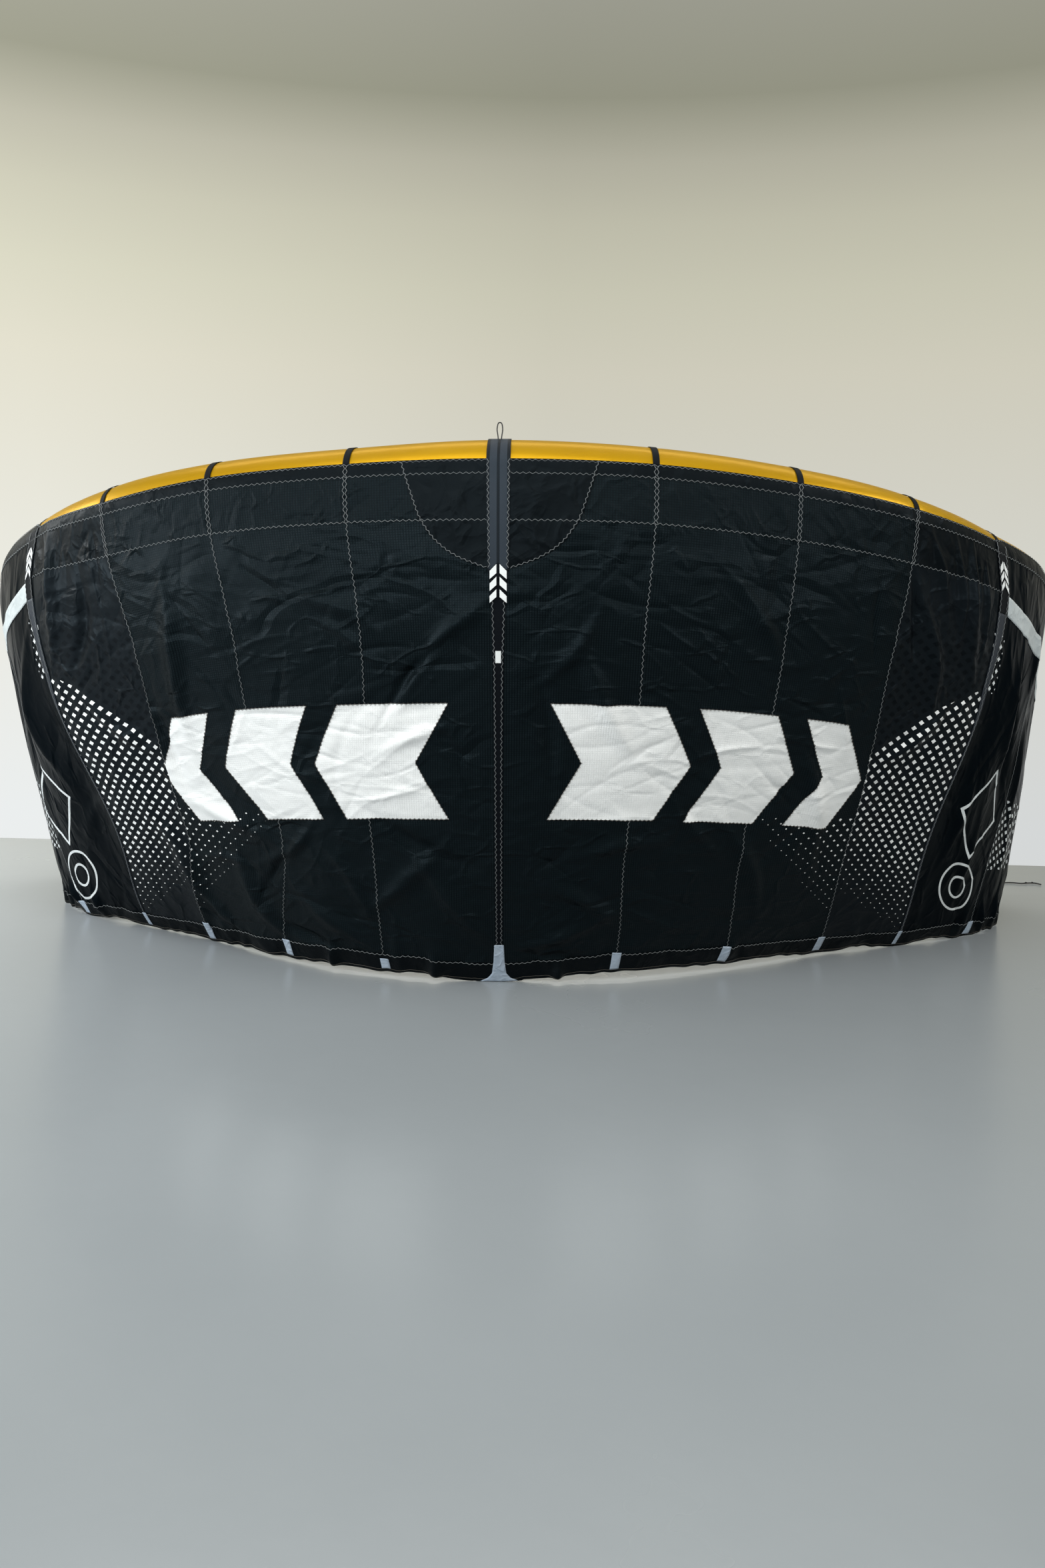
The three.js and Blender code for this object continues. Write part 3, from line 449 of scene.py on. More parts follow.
CAMERA_PLACE = (0.12986, -3.56542, 1.05)  # metres
CAMERA_HEADING = 2.0  # degrees, as the next two
CAMERA_PITCH = -8.893
CAMERA_ROLL = 1.13
camera_data = bpy.data.cameras.new("camera")
camera_data.lens = 26.02
camera_data.sensor_width = 36
camera = add_object("camera", camera_data)
turn = (Matrix.Rotation(math.radians(CAMERA_HEADING), 4, "Z")
        @ Matrix.Rotation(math.radians(90 + CAMERA_PITCH), 4, "X")
        @ Matrix.Rotation(math.radians(CAMERA_ROLL), 4, "Z"))
camera.matrix_world = Matrix.Translation(CAMERA_PLACE) @ turn
bpy.context.scene.camera = camera
print("camera lens:", camera_data.lens)

# %% [markdown]
# ## Materials from sums
# A material is a web of nodes. Written as sums it is easier to read, so one small class
# wraps a node's output: `1 - mask` adds the Math node for it. A second class holds the
# web and adds any other node from its type, its settings and its inputs.


# %% A value that can be used in sums
class Value:
    """One output of a node. A sum or a test on it adds a Math node, and | takes the larger of two."""

    def __init__(self, web, socket):
        self.web = web
        self.socket = socket

    def __abs__(self):
        return self.web.math("ABSOLUTE", self)


def add_operator(name, operation):
    setattr(Value, f"__{name}__", lambda self, other: self.web.math(operation, self, other))


def add_reflected(name, operation):
    """For a number on the left. Python itself turns 1 < mask into mask > 1."""
    setattr(Value, f"__r{name}__", lambda self, other: self.web.math(operation, other, self))


SUMS = {"add": "ADD", "sub": "SUBTRACT", "mul": "MULTIPLY", "truediv": "DIVIDE", "or": "MAXIMUM"}
TESTS = {"lt": "LESS_THAN", "gt": "GREATER_THAN"}
for name, operation in (SUMS | TESTS).items():
    add_operator(name, operation)
for name, operation in SUMS.items():
    add_reflected(name, operation)
print("sums and tests on values:", *SUMS, *TESTS)


# %% A web of nodes
class Web:
    """A tree of nodes, and the methods that add to it. All trees here are made with it."""

    def __init__(self, tree):
        self.tree = tree

    def put(self, socket, value):
        if isinstance(value, Value):
            self.tree.links.new(value.socket, socket)
        else:
            socket.default_value = value

    def node(self, kind, settings=None, inputs=None, output=0):
        """Adds a node, sets its settings first and then the values or links of its inputs."""
        made = self.tree.nodes.new(kind)
        for name, value in (settings or {}).items():
            if name == "stops":
                self.set_stops(made.color_ramp.elements, value)
            else:
                setattr(made, name, value)
        for key, value in (inputs or {}).items():
            self.put(made.inputs[key], value)
        return Value(self, made.outputs[output])

    def set_stops(self, stops, rows):
        """Gives a colour ramp its stops, each a position and a colour."""
        while len(stops) < len(rows):
            stops.new(0.5)
        for stop, (position, colour) in zip(stops, rows):
            stop.position = position
            stop.color = (*colour, 1)

    def math(self, operation, *values):
        return self.node("ShaderNodeMath", {"operation": operation}, dict(enumerate(values)))

    def mix(self, share, first, second):
        """A colour between two colours, each a Value or three numbers."""
        full = [c if isinstance(c, Value) else (*c, 1.0) for c in (first, second)]
        return self.node("ShaderNodeMix", {"data_type": "RGBA"},
                         {0: share, 6: full[0], 7: full[1]}, output=2)

    def soft_step(self, value, start, end):
        """0 below start, 1 above end, smooth between."""
        return self.node("ShaderNodeMapRange", {"interpolation_type": "SMOOTHSTEP"},
                         {0: value, 1: start, 2: end, 3: 0.0, 4: 1.0})


# %% A finish: a material, its shader and the web that feeds it
class Finish(Web):
    """fixed gives the shader's constant sockets, with _ for each space in their names."""

    def __init__(self, name, **fixed):
        self.material = bpy.data.materials.new(name)
        self.material.use_nodes = True
        super().__init__(self.material.node_tree)
        self.shader = self.tree.nodes["Principled BSDF"]
        for socket, value in fixed.items():
            self.shader.inputs[socket.replace("_", " ")].default_value = value

    def colour(self, value):
        self.put(self.shader.inputs["Base Color"], value)

    def rough(self, value):
        self.put(self.shader.inputs["Roughness"], value)

    def bump(self, height, metres, under=None):
        """Raises the surface by height times metres. under is a bump that it adds to."""
        inputs = {"Height": height, "Distance": metres, "Strength": 1.0}
        if under is not None:
            inputs["Normal"] = under
        made = self.node("ShaderNodeBump", None, inputs)
        self.put(self.shader.inputs["Normal"], made)
        return made


# %% Patterns that several finishes share
def map_of(finish, name):
    """The two numbers of one of the piece's own maps."""
    both = finish.node("ShaderNodeUVMap", {"uv_map": name})
    split = finish.node("ShaderNodeSeparateXYZ", None, {0: both})
    return split, Value(finish, split.socket.node.outputs[1])


def object_place(finish):
    return finish.node("ShaderNodeTexCoord", output="Object")


def noise(finish, where, scale, detail=3.0, rough=0.5, output=0):
    return finish.node("ShaderNodeTexNoise", {"noise_dimensions": "3D"},
                       {"Vector": where, "Scale": scale, "Detail": detail, "Roughness": rough}, output)


def crinkle(finish, where, scale):
    """Sharp ridges with smooth hollows between them, as crumpled film has."""
    return finish.node("ShaderNodeTexNoise", {"noise_type": "RIDGED_MULTIFRACTAL"},
                       {"Vector": where, "Scale": scale, "Detail": 2.5, "Roughness": 0.5,
                        "Lacunarity": 2.1, "Offset": 0.9, "Gain": 1.6, "Distortion": 0.5})


def crease_arcs(finish, where, scale, half_width):
    """Sharp ridges along bent lines, each fading out again: single creases, far apart."""
    wavy = finish.node("ShaderNodeVectorMath", {"operation": "MULTIPLY_ADD"},
                       {0: noise(finish, where, scale * 0.9, 2.0, output="Color"),
                        1: (0.75 / scale,) * 3, 2: where})
    cells = finish.node("ShaderNodeTexVoronoi", {"feature": "DISTANCE_TO_EDGE"},
                        {"Vector": wavy, "Scale": scale})
    ridge = 1 - finish.math("MINIMUM", cells / (half_width * scale), 1.0)
    return ridge * finish.soft_step(noise(finish, where, scale * 1.3, 1.0), 0.45, 0.62)


def film_creases(finish, where, scale, crinkles, arcs, stretch=(1, 1, 1), share=1.0):
    """Bumps of crumpled film: crinkles that share a scale, and single sharp creases. Both in metres."""
    drawn = finish.node("ShaderNodeVectorMath", {"operation": "MULTIPLY"}, {0: where, 1: stretch})
    patchy = finish.soft_step(noise(finish, where, 3.4, 2.0), 0.36, 0.66) * share
    first = finish.bump(crinkle(finish, drawn, scale) * (patchy + 0.35 * share), crinkles)
    wide = finish.bump(crease_arcs(finish, drawn, 4.6, 0.018) * (-1 * share), arcs, first)
    return finish.bump(crease_arcs(finish, drawn, 10.0, 0.009) * share, arcs * 0.6, wide)


def fraction(value):
    """What a value has beyond its last whole number."""
    return value.web.math("FRACT", value)


def line_mask(value, pitch, share):
    """1 on a line that fills a share of each pitch, with soft sides."""
    middle = abs(fraction(value / pitch) - 0.5) * 2.0
    return value.web.soft_step(middle, 1 - share * 1.4, 1 - share * 0.4)


print("patterns ready")

# %% [markdown]
# ## Sewn and printed shapes
# Big white motifs are sewn into the main panels, white print fades over the panels
# beside the struts, and thin outlines are printed on the tips. Cut as pieces they would
# have to follow every crease, so they are masks that read the cloth's own map: metres
# across and metres down, or span and down. The motifs are plain, because a part for
# everyone carries no maker's lettering.

# %% Masks for the sewn chevrons
CHEVRONS = ((0.13, 0.30), (0.52, 0.22), (0.83, 0.14))  # metres: the inner edge and the width
MOTIF_MIDDLE = 0.752  # metres down: the middle of the chevrons
MOTIF_HALF = 0.158  # metres: half height
MOTIF_LEAN = 0.55  # metres outward for each metre from the middle


def chevron_mask(across, down_metres, grow=0.0):
    """1 on the big chevrons that point outward, on both sides of the centre."""
    rise = abs(down_metres - MOTIF_MIDDLE)
    slanted = abs(across) + rise * MOTIF_LEAN
    middles = [inner + MOTIF_HALF * MOTIF_LEAN + wide / 2 for inner, wide in CHEVRONS]
    bands = [abs(slanted - middle) < wide / 2 + grow for middle, (_, wide) in zip(middles, CHEVRONS)]
    return (bands[0] | bands[1] | bands[2]) * (rise < MOTIF_HALF + grow)


print("sewn chevrons on each side:", len(CHEVRONS))

# %% Masks for the halftone squares
DOT_IN = (-0.0192, 0.0197)  # metres outward and down to the next square, one way
DOT_OUT = (0.0192, 0.015)  # and the other way
DOT_HALF = 0.215  # half of a full square, as a share of the step
PRINT_SIDE = 0.637  # down: where the print goes on past the side panel's seam


def halftone(across, down_metres, share):
    """Small slanted squares in two crossing rows. share is half a square's size."""
    aside = abs(across)
    turn = DOT_IN[0] * DOT_OUT[1] - DOT_IN[1] * DOT_OUT[0]
    one = (aside * DOT_OUT[1] - down_metres * DOT_OUT[0]) / turn
    two = (down_metres * DOT_IN[0] - aside * DOT_IN[1]) / turn
    return (abs(fraction(one) - 0.5) < share) * (abs(fraction(two) - 0.5) < share)


def white_dots(across, down_metres, span, down):
    """The squares' own mask: large by the strut, smaller towards the centre and the hem."""
    inward = float(STRUT) - abs(span)
    beside = inward < 1.0
    start = 0.312 + inward * 0.1 + inward * inward * 0.08
    fade = (down - (0.76 - inward * 0.14)) | 0.0
    by_strut = (1.0 - fade * 4.2) * (down > start) * beside
    further = (0.78 - (inward - 1.0) * 0.6 - (down - PRINT_SIDE) * 2.2) * (down > PRINT_SIDE) * (1 - beside)
    size = (by_strut + further) | 0.0
    size = size * (size > 0.2) * (inward > 0.0)
    return halftone(across, down_metres, size * DOT_HALF)


print("halftone ready")

# %% [markdown]
# ## Black finishes
# All the black cloth is coated nylon or polyester. It is nearly black, and what is seen on
# it is a dim, bluish shine that breaks up at every crease. So each finish has a very low
# specular level with a cool tint, a small change in roughness, and three sizes of bump:
# long sharp creases, crinkles and grain. Plain noise alone would look like skin.

# %% Double ripstop of the main panels
BLACK = (0.001, 0.002, 0.0028)
CELL = (0.0046, 0.0078, 0.0092)
WHITE = (0.81, 0.815, 0.81)
CELL_WIDE, CELL_HIGH = 0.0065, 0.0059  # metres from one ripstop line to the next
CLOTH_SHINE = 0.08
COOL = (0.62, 0.85, 1.0, 1.0)


def ripstop_grid(u, v):
    """Dark lines between the small grey squares of double ripstop."""
    return line_mask(u, CELL_WIDE, 0.38) | line_mask(v, CELL_HIGH, 0.3) * 0.75


def ripstop_finish():
    """Double ripstop: a fine square grid, white chevrons sewn in, and the print's last dots."""
    finish = Finish("black_ripstop_cloth", Specular_IOR_Level=CLOTH_SHINE, Specular_Tint=COOL)
    (u, v), (span, down) = map_of(finish, "cloth"), map_of(finish, "place")
    where = object_place(finish)
    grid = ripstop_grid(u, v)
    white, edge = chevron_mask(u, v), chevron_mask(u, v, 0.003)
    base = finish.mix(edge, finish.mix(grid, CELL, BLACK), (0.003, 0.003, 0.004))
    base = finish.mix(white, base, finish.mix(grid * 0.3, WHITE, (0.7, 0.705, 0.7)))
    finish.colour(finish.mix(white_dots(u, v, span, down) * (1 - edge), base, WHITE))
    finish.rough(0.3 + noise(finish, where, 3.0, 4.0) * 0.16 + white * 0.2)
    first = film_creases(finish, where, 7.0, 0.0034, 0.005, (0.7, 0.8, 1.15), 1 - white * 0.65)
    second = finish.bump(noise(finish, where, 9.0, 3.0), 0.004, first)
    finish.bump(1 - grid, 0.0004, second)
    return finish.material


RIPSTOP = ripstop_finish()
print("main panels' finish:", RIPSTOP.name)


# %% Smooth cloth beside the struts
def smooth_finish():
    """Smooth canopy cloth beside the struts: white halftone below, faint dots above."""
    finish = Finish("black_smooth_cloth", Specular_IOR_Level=CLOTH_SHINE, Specular_Tint=COOL)
    (u, v), (span, down) = map_of(finish, "cloth"), map_of(finish, "place")
    where = object_place(finish)
    upper = (1 - finish.soft_step(down, 0.5, 0.7)) * finish.soft_step(down, 0.12, 0.25)
    faint = halftone(u, v, 0.25) * upper
    base = finish.mix(faint * 0.8, (0.0046, 0.0062, 0.0078), (0.0012, 0.0017, 0.0024))
    finish.colour(finish.mix(white_dots(u, v, span, down), base, WHITE))
    finish.rough(0.32 + noise(finish, where, 4.0, 3.0) * 0.16 + faint * 0.1)
    first = film_creases(finish, where, 9.0, 0.004, 0.0036)
    finish.bump(noise(finish, where, 40.0, 4.0), 0.0008, first)
    return finish.material


# %% Smooth cloth of the tips
TIP_PRINT = (1.6, 0.76, 1.02)  # metres across to the print, and down to the lozenge and the rings


def outline_mask(distance, width):
    return abs(distance) < width / 2


def tip_finish():
    """Smooth cloth of the tips, with two plain printed outlines and two patches of print."""
    finish = Finish("black_tip_cloth", Specular_IOR_Level=CLOTH_SHINE * 0.42, Specular_Tint=COOL)
    (u, v), (span, down) = map_of(finish, "cloth"), map_of(finish, "place")
    where = object_place(finish)
    beside = abs(u) - TIP_PRINT[0]
    lozenge = outline_mask(abs(beside / 0.1) + abs((v - TIP_PRINT[1]) / 0.145) - 1.0, 0.1)
    far_u, far_v = beside / 0.085, (v - TIP_PRINT[2]) / 0.085
    far = finish.math("SQRT", far_u * far_u + far_v * far_v)
    rings = outline_mask(far - 1.0, 0.1) | outline_mask(far - 0.45, 0.1)
    reach = abs(span)
    upper = (reach < 4.17) * (down > 0.19) * (down < 0.32)
    outer = (reach > 5.0) * (reach < 5.7) * (down > 0.58) * (down < 0.79)
    printed = halftone(u, v, 0.22) * (upper | outer) | lozenge | rings
    finish.colour(finish.mix(printed, (0.0016, 0.0028, 0.004), (0.66, 0.69, 0.7)))
    finish.rough(0.24 + noise(finish, where, 4.0, 3.0) * 0.2)
    first = film_creases(finish, where, 8.0, 0.0036, 0.0036, (1.3, 1.3, 0.45))
    finish.bump(noise(finish, where, 34.0, 4.0), 0.0008, first)
    return finish.material


# %% Firm cloth of the bands, the shield and the front row
def firm_finish(name, grid_inside=0.0):
    """Firm woven polyester of the band, the shield and the hem. The front row is ripstop
    between the third seams, and grid_inside says how far out its grid goes, as span."""
    finish = Finish(name, Specular_IOR_Level=CLOTH_SHINE * 0.8, Specular_Tint=COOL)
    (u, v), where = map_of(finish, "cloth"), object_place(finish)
    base = finish.mix(noise(finish, where, 5.0, 3.0), (0.0016, 0.0023, 0.003), (0.0034, 0.0045, 0.0053))
    first = film_creases(finish, where, 12.0, 0.0026, 0.0032)
    second = finish.bump(noise(finish, where, 55.0, 4.0), 0.0007, first)
    if grid_inside:
        inside = abs(map_of(finish, "place")[0]) < grid_inside
        grid = ripstop_grid(u, v) * inside
        base = finish.mix(inside * (1 - grid), base, CELL)
        finish.bump(1 - grid, 0.0003, second)
    else:
        finish.bump(line_mask(u, 0.0016, 0.5) * line_mask(v, 0.0016, 0.5), 0.00012, second)
    finish.colour(base)
    finish.rough(0.34 + noise(finish, where, 6.0, 3.0) * 0.16)
    return finish.material


SMOOTH = smooth_finish()
TIPS = tip_finish()
FIRM = firm_finish("black_firm_cloth")
FRONT = firm_finish("black_front_cloth", 3.0)
print("black finishes: 5")

# %% [markdown]
# ## Gold, tape, thread and pale finishes
# The tube's gold polyester has a satin, slightly metallic sheen. Tapes are woven with
# slanted ribs that show up close. Thread, print and cord are small, so one plain finish
# with its own colours and grain does for each of them.


# %% Gold cloth of the tubes
def gold_finish():
    """Inflated gold polyester: a satin weave with a metallic sheen."""
    finish = Finish("gold_woven_polyester", Specular_IOR_Level=0.3, Metallic=0.45,
                    Specular_Tint=(1.0, 0.8, 0.35, 1.0))
    (u, v), where = map_of(finish, "cloth"), object_place(finish)
    tint = noise(finish, where, 3.0, 3.0)
    finish.colour(finish.mix(tint, (0.36, 0.188, 0.0007), (0.43, 0.24, 0.0011)))
    finish.rough(0.25 + tint * 0.07)
    first = finish.bump(noise(finish, where, 30.0, 3.0), 0.0005)
    finish.bump(line_mask(u, 0.0012, 0.5) * line_mask(v, 0.0012, 0.5), 0.0001, first)
    return finish.material


# %% Tapes, pale cloth, print, thread and cord
def tape_finish(name, base, light, pitch=0.0022, stripe=None, shine=0.25):
    """Woven tape with slanted twill ribs. stripe is metres from its middle: how wide its black
    middle line is to each side, and where its black edges start."""
    finish = Finish(name, Specular_IOR_Level=shine, Specular_Tint=COOL)
    (u, v), where = map_of(finish, "cloth"), object_place(finish)
    twill = line_mask(u + v, pitch, 0.5)
    patch = noise(finish, where, 16.0, 3.0)
    woven = finish.mix(twill * 0.5 + patch * 0.4, base, light)
    if stripe:
        aside = abs(u)
        woven = finish.mix((aside < stripe[0]) | (aside > stripe[1]), woven, (0.0035, 0.0035, 0.005))
    finish.colour(woven)
    finish.rough(0.42 + patch * 0.2)
    finish.bump(twill, 0.0002)
    return finish.material


def plain_finish(name, base, light, rough, scale=40.0, height=0.0004, folds=0.0):
    """A plain cloth, print or cord finish with a fine uneven grain."""
    finish = Finish(name, Specular_IOR_Level=0.5)
    where = object_place(finish)
    grain = noise(finish, where, scale, 4.0)
    finish.colour(finish.mix(grain, base, light))
    finish.rough(rough + grain * 0.12)
    under = finish.bump(crinkle(finish, where, scale), height * folds) if folds else None
    finish.bump(noise(finish, where, scale * 4, 3.0), height, under)
    return finish.material


GOLD = gold_finish()
TAPE = tape_finish("blue_grey_twill_tape", (0.009, 0.012, 0.017), (0.04, 0.047, 0.06), pitch=0.0034,
                   stripe=(0.0036, 0.0215), shine=0.18)
GREY_TAPE = tape_finish("grey_twill_tape", (0.014, 0.016, 0.022), (0.04, 0.043, 0.052))
BLACK_WEB = tape_finish("black_webbing", (0.0014, 0.0014, 0.0024), (0.0045, 0.0045, 0.006),
                        pitch=0.0018, shine=0.08)
PALE = plain_finish("pale_blue_cloth", (0.26, 0.33, 0.42), (0.44, 0.5, 0.58), 0.4, folds=3.0)
PALE_FLASH = plain_finish("pale_flash_cloth", (0.33, 0.37, 0.38), (0.52, 0.56, 0.57), 0.4, scale=24.0,
                          height=0.0006, folds=2.5)
PRINT = plain_finish("white_print", (0.68, 0.7, 0.7), (0.74, 0.76, 0.76), 0.5)
THREAD = plain_finish("grey_thread", (0.13, 0.14, 0.145), (0.2, 0.215, 0.22), 0.6, scale=300.0,
                      height=0.0001)
DARK_THREAD = plain_finish("dark_thread", (0.05, 0.045, 0.04), (0.11, 0.1, 0.08), 0.6, scale=300.0,
                           height=0.0001)
CORD = plain_finish("dark_braid", (0.005, 0.005, 0.006), (0.02, 0.02, 0.022), 0.6, scale=500.0,
                    height=0.0003)
print("other finishes: 10")

# %% [markdown]
# ## Cloth pieces
# Canopy cloth is a tenth of a millimetre thick, so each panel is one sheet of points,
# fine enough to hold its creases. Bands, tapes and tabs sit on top, so they get two
# layers and closed sides. Each point also gets two maps: its place in metres on the
# cloth, and its span and down.


# %% Turn a grid of points into a piece
def grid_faces(rows, columns):
    row, col = np.mgrid[0:rows - 1, 0:columns - 1]
    a = row * columns + col
    return np.stack([a, a + columns, a + columns + 1, a + 1], -1).reshape(-1, 4)


def make_piece(name, points, faces, maps, material, smooth=True):
    mesh = bpy.data.meshes.new(name)
    mesh.from_pydata(points.reshape(-1, 3), [], faces)
    loops = np.zeros(len(mesh.loops), np.int32)
    mesh.loops.foreach_get("vertex_index", loops)
    for title, values in maps.items():
        layer = mesh.uv_layers.new(name=title)
        layer.data.foreach_set("uv", values.reshape(-1, 2)[loops].astype(np.float32).ravel())
    mesh.polygons.foreach_set("use_smooth", np.full(len(mesh.polygons), smooth))
    mesh.materials.append(material)
    mesh.update()
    return add_object(name, mesh)


def maps_of(span, down):
    cloth = np.stack([metres_across(span), down * chord(span)], -1)
    return {"cloth": cloth, "place": np.stack([span, down], -1)}


def dress(piece, nodes=()):
    """Puts a piece on the kite's one body and the solids that it stands for."""
    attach(piece, "root")
    if nodes:
        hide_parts(*nodes)


print("grids become pieces")


# %% Dress a sheet of cloth, and print its flat size
def sheet_size(points):
    """Width, length and area in metres, measured along the cloth."""
    wide = np.linalg.norm(np.diff(points, axis=1), axis=-1).sum(axis=1).max()
    long_ = np.linalg.norm(np.diff(points, axis=0), axis=-1).sum(axis=0).max()
    a = points[:-1, :-1] - points[1:, 1:]
    b = points[1:, :-1] - points[:-1, 1:]
    area = np.linalg.norm(np.cross(a, b), axis=-1).sum() / 2
    return float(wide), float(long_), float(area)


def finish_cloth(piece, points, nodes):
    """Dresses a sheet, and prints its size."""
    wide, long_, area = sheet_size(points)
    dress(piece, nodes)
    print(f"{piece.name}: {wide:.3f} x {long_:.3f} m, {area:.4f} square metres")


# %% One sheet of canopy, and a two-layer strip
def canopy_sheet(name, span, down, material, nodes):
    """One layer of cloth over a grid of spans and downs."""
    span, down = np.broadcast_arrays(span, down)
    points = canopy(span, down)
    piece = make_piece(name, points, grid_faces(*span.shape), maps_of(span, down), material)
    finish_cloth(piece, points, nodes)


def closed_faces(rows, columns):
    """Faces of two grids, one above the other, joined round their rim."""
    top = grid_faces(rows, columns)
    under = rows * columns
    rim = [*range(columns), *(r * columns + columns - 1 for r in range(1, rows)),
           *((rows - 1) * columns + c for c in range(columns - 2, -1, -1)),
           *(r * columns for r in range(rows - 2, 0, -1))]
    sides = [(one, two, under + two, under + one) for one, two in zip(rim, rim[1:] + rim[:1])]
    return [*top.tolist(), *(top[:, ::-1] + under).tolist(), *sides]


def closed_piece(name, top, low, maps, material):
    """Two grids of points as one closed piece. Both get the same maps."""
    doubled = {key: np.concatenate([value, value]) for key, value in maps.items()}
    return make_piece(name, np.concatenate([top, low]), closed_faces(*top.shape[:2]), doubled, material)


LAYERS = {  # metres from the cloth's middle to the piece on it, and how thick that is
    "shield": (0.0012, 0.0005), "flash": (0.0010, 0.0005), "centre band": (0.0010, 0.0006),
    "strut band": (0.0012, 0.0007), "hem tab": (0.002, 0.0008), "foot": (0.002, 0.0009),
    "label": (0.0022, 0.0006), "strut arrows": (0.0036, 0.0003), "band point": (0.0048, 0.0004),
    "band arrows": (0.0055, 0.0003),
}


def two_layers(span, down, layer):
    height, thick = LAYERS[layer]
    return canopy(span, down, height + thick), canopy(span, down, height)


def layered_strip(name, span, down, layer, material):
    """A strip that lies on the canopy. Returns the piece and its upper layer's points."""
    top, low = two_layers(span, down, layer)
    return closed_piece(name, top, low, maps_of(span, down), material), top


print("cloth helpers ready")

# %% [markdown]
# ## Leading-edge tube
# The tube is sewn from straight lengths of firm polyester, and a bladder inside keeps it
# hard. A bevelled curve would be quick, but it can't pull in at each seam or show the
# small ripples of thread tension there. So each half is a grid of rings round the
# tube's middle line, with a low dome that closes it at the tip.

# %% The rings of one half
TUBE_SIDES = 40
TUBE_RINGS = 300
LAST_PUCKER = 6.6  # span: past this the tube has no seam to pull it in
METRES_PER_SEAM = 0.37  # about how far one seam is from the next
PUCKER_WIDE, PUCKER_DEEP = 0.012, 0.0012  # metres
RIPPLE_WIDE, RIPPLE_HIGH = 0.03, 0.0006
DOME = ((0.97, 0.006), (0.88, 0.013), (0.7, 0.019), (0.45, 0.023), (0.15, 0.0245))  # share and metres out


def tube_rings(sign):
    span, angle = np.meshgrid(np.linspace(0, TIP, TUBE_RINGS) * sign,
                              -np.linspace(0, 2 * np.pi, TUBE_SIDES + 1) - np.pi / 2)
    tube = tube_frame(span)
    to_seam = np.abs(span - np.round(span)) * METRES_PER_SEAM
    pucker = np.where(np.abs(span) < LAST_PUCKER, np.exp(-((to_seam / PUCKER_WIDE) ** 2)), 0)
    ripple = RIPPLE_HIGH * np.sin(angle * 17 + span * 3) * np.exp(-((to_seam / RIPPLE_WIDE) ** 2))
    points = around_tube(tube, angle, tube["radius"] - PUCKER_DEEP * pucker + ripple)
    cloth = np.stack([metres_across(span), angle * tube["radius"]], -1)
    return points + ORIGIN, {"cloth": cloth, "place": np.stack([span, angle], -1)}


print("rings in each half:", TUBE_RINGS)


# %% Both halves, closed by a dome
def tube_piece(side, sign):
    points, maps = tube_rings(sign)
    rim = points[:, -1]
    end = rim.mean(axis=0)
    axis = tube_frame(np.array([TIP * sign]))["axis"][0] * sign
    dome = [end + (rim - end) * share + axis * out for share, out in DOME]
    points = np.concatenate([points, np.stack(dome, 1)], axis=1)
    maps = {key: np.concatenate([value, np.repeat(value[:, -1:], len(DOME), axis=1)], axis=1)
            for key, value in maps.items()}
    faces = grid_faces(*points.shape[:2])
    piece = make_piece(f"tube_{side}", points, faces if sign < 0 else faces[:, ::-1], maps, GOLD)
    dress(piece, [f"tube_{side}_{number}" for number in range(1, 7)])
    print(piece.name, "faces:", len(faces))


for side, sign in SIDES:
    tube_piece(side, sign)

# %% [markdown]
# ## Canopy panels
# Each side has three main panels of ripstop, a smooth one beside the strut, and the two
# of the tip. Panels of one cloth are one grid here, because only stitches mark the seams
# between them. A grid is finest where creases are short, 3 to 7 mm from point to point.

# %% Main panels
main_downs = np.linspace(FRONT_END, HEM_START, 290)[:, None]
for side, sign in SIDES:
    canopy_sheet(f"main_panels_{side}", np.sort(np.linspace(0, 3, 290) * sign), main_downs, RIPSTOP,
                 [f"panel_{side}_{number}" for number in (1, 2, 3)])

# %% Panels beside the struts, and the tips
tip_downs = np.concatenate([np.linspace(BAND_END, FRONT_END, 16)[:-1],
                            np.linspace(FRONT_END, HEM_START, 150)])[:, None]
for side, sign in SIDES:
    canopy_sheet(f"side_panel_{side}", np.sort(np.linspace(3, STRUT, 90) * sign), main_downs, SMOOTH,
                 [f"panel_{side}_4"])
    canopy_sheet(f"tip_panels_{side}", np.sort(np.linspace(STRUT, TIP, 210) * sign), tip_downs, TIPS,
                 [f"panel_{side}_5", f"panel_{side}_6"])

# %% Front row of panels
canopy_sheet("front_row", np.linspace(-STRUT, STRUT, 1000), np.linspace(BAND_END, FRONT_END, 36)[:, None],
             FRONT, [f"front_{side}_{number}" for side, _ in SIDES for number in range(1, 5)])


# %% Leading-edge band
REACH_LEFT, REACH_RIGHT = 0.025, 0.0155  # down, over the tube of each tip
REACH_FROM, REACH_LONG = 3.93, 0.16  # span: where the band starts to reach over it, and how soon it does


def band_start(span):
    """The band's upper edge, as down. At the tips it reaches further over the tube."""
    reach = np.where(span < 0, REACH_LEFT, REACH_RIGHT)
    return -reach * np.clip((np.abs(span) - REACH_FROM) / REACH_LONG, 0, 1)


spans = np.linspace(-TIP, TIP, 700)
start = band_start(spans)
down = start + np.linspace(0, 1, 12)[:, None] * (BAND_END - start)
canopy_sheet("leading_edge_band", spans, down, FIRM, ["edge_band_left", "edge_band_right"])

# %% [markdown]
# ## Hem
# The trailing edge is a folded band. Its cloth comes down outside, turns under at the
# edge and goes up inside, so the hem is one grid that follows that way. A single strip
# would show a thin cut edge on the floor.

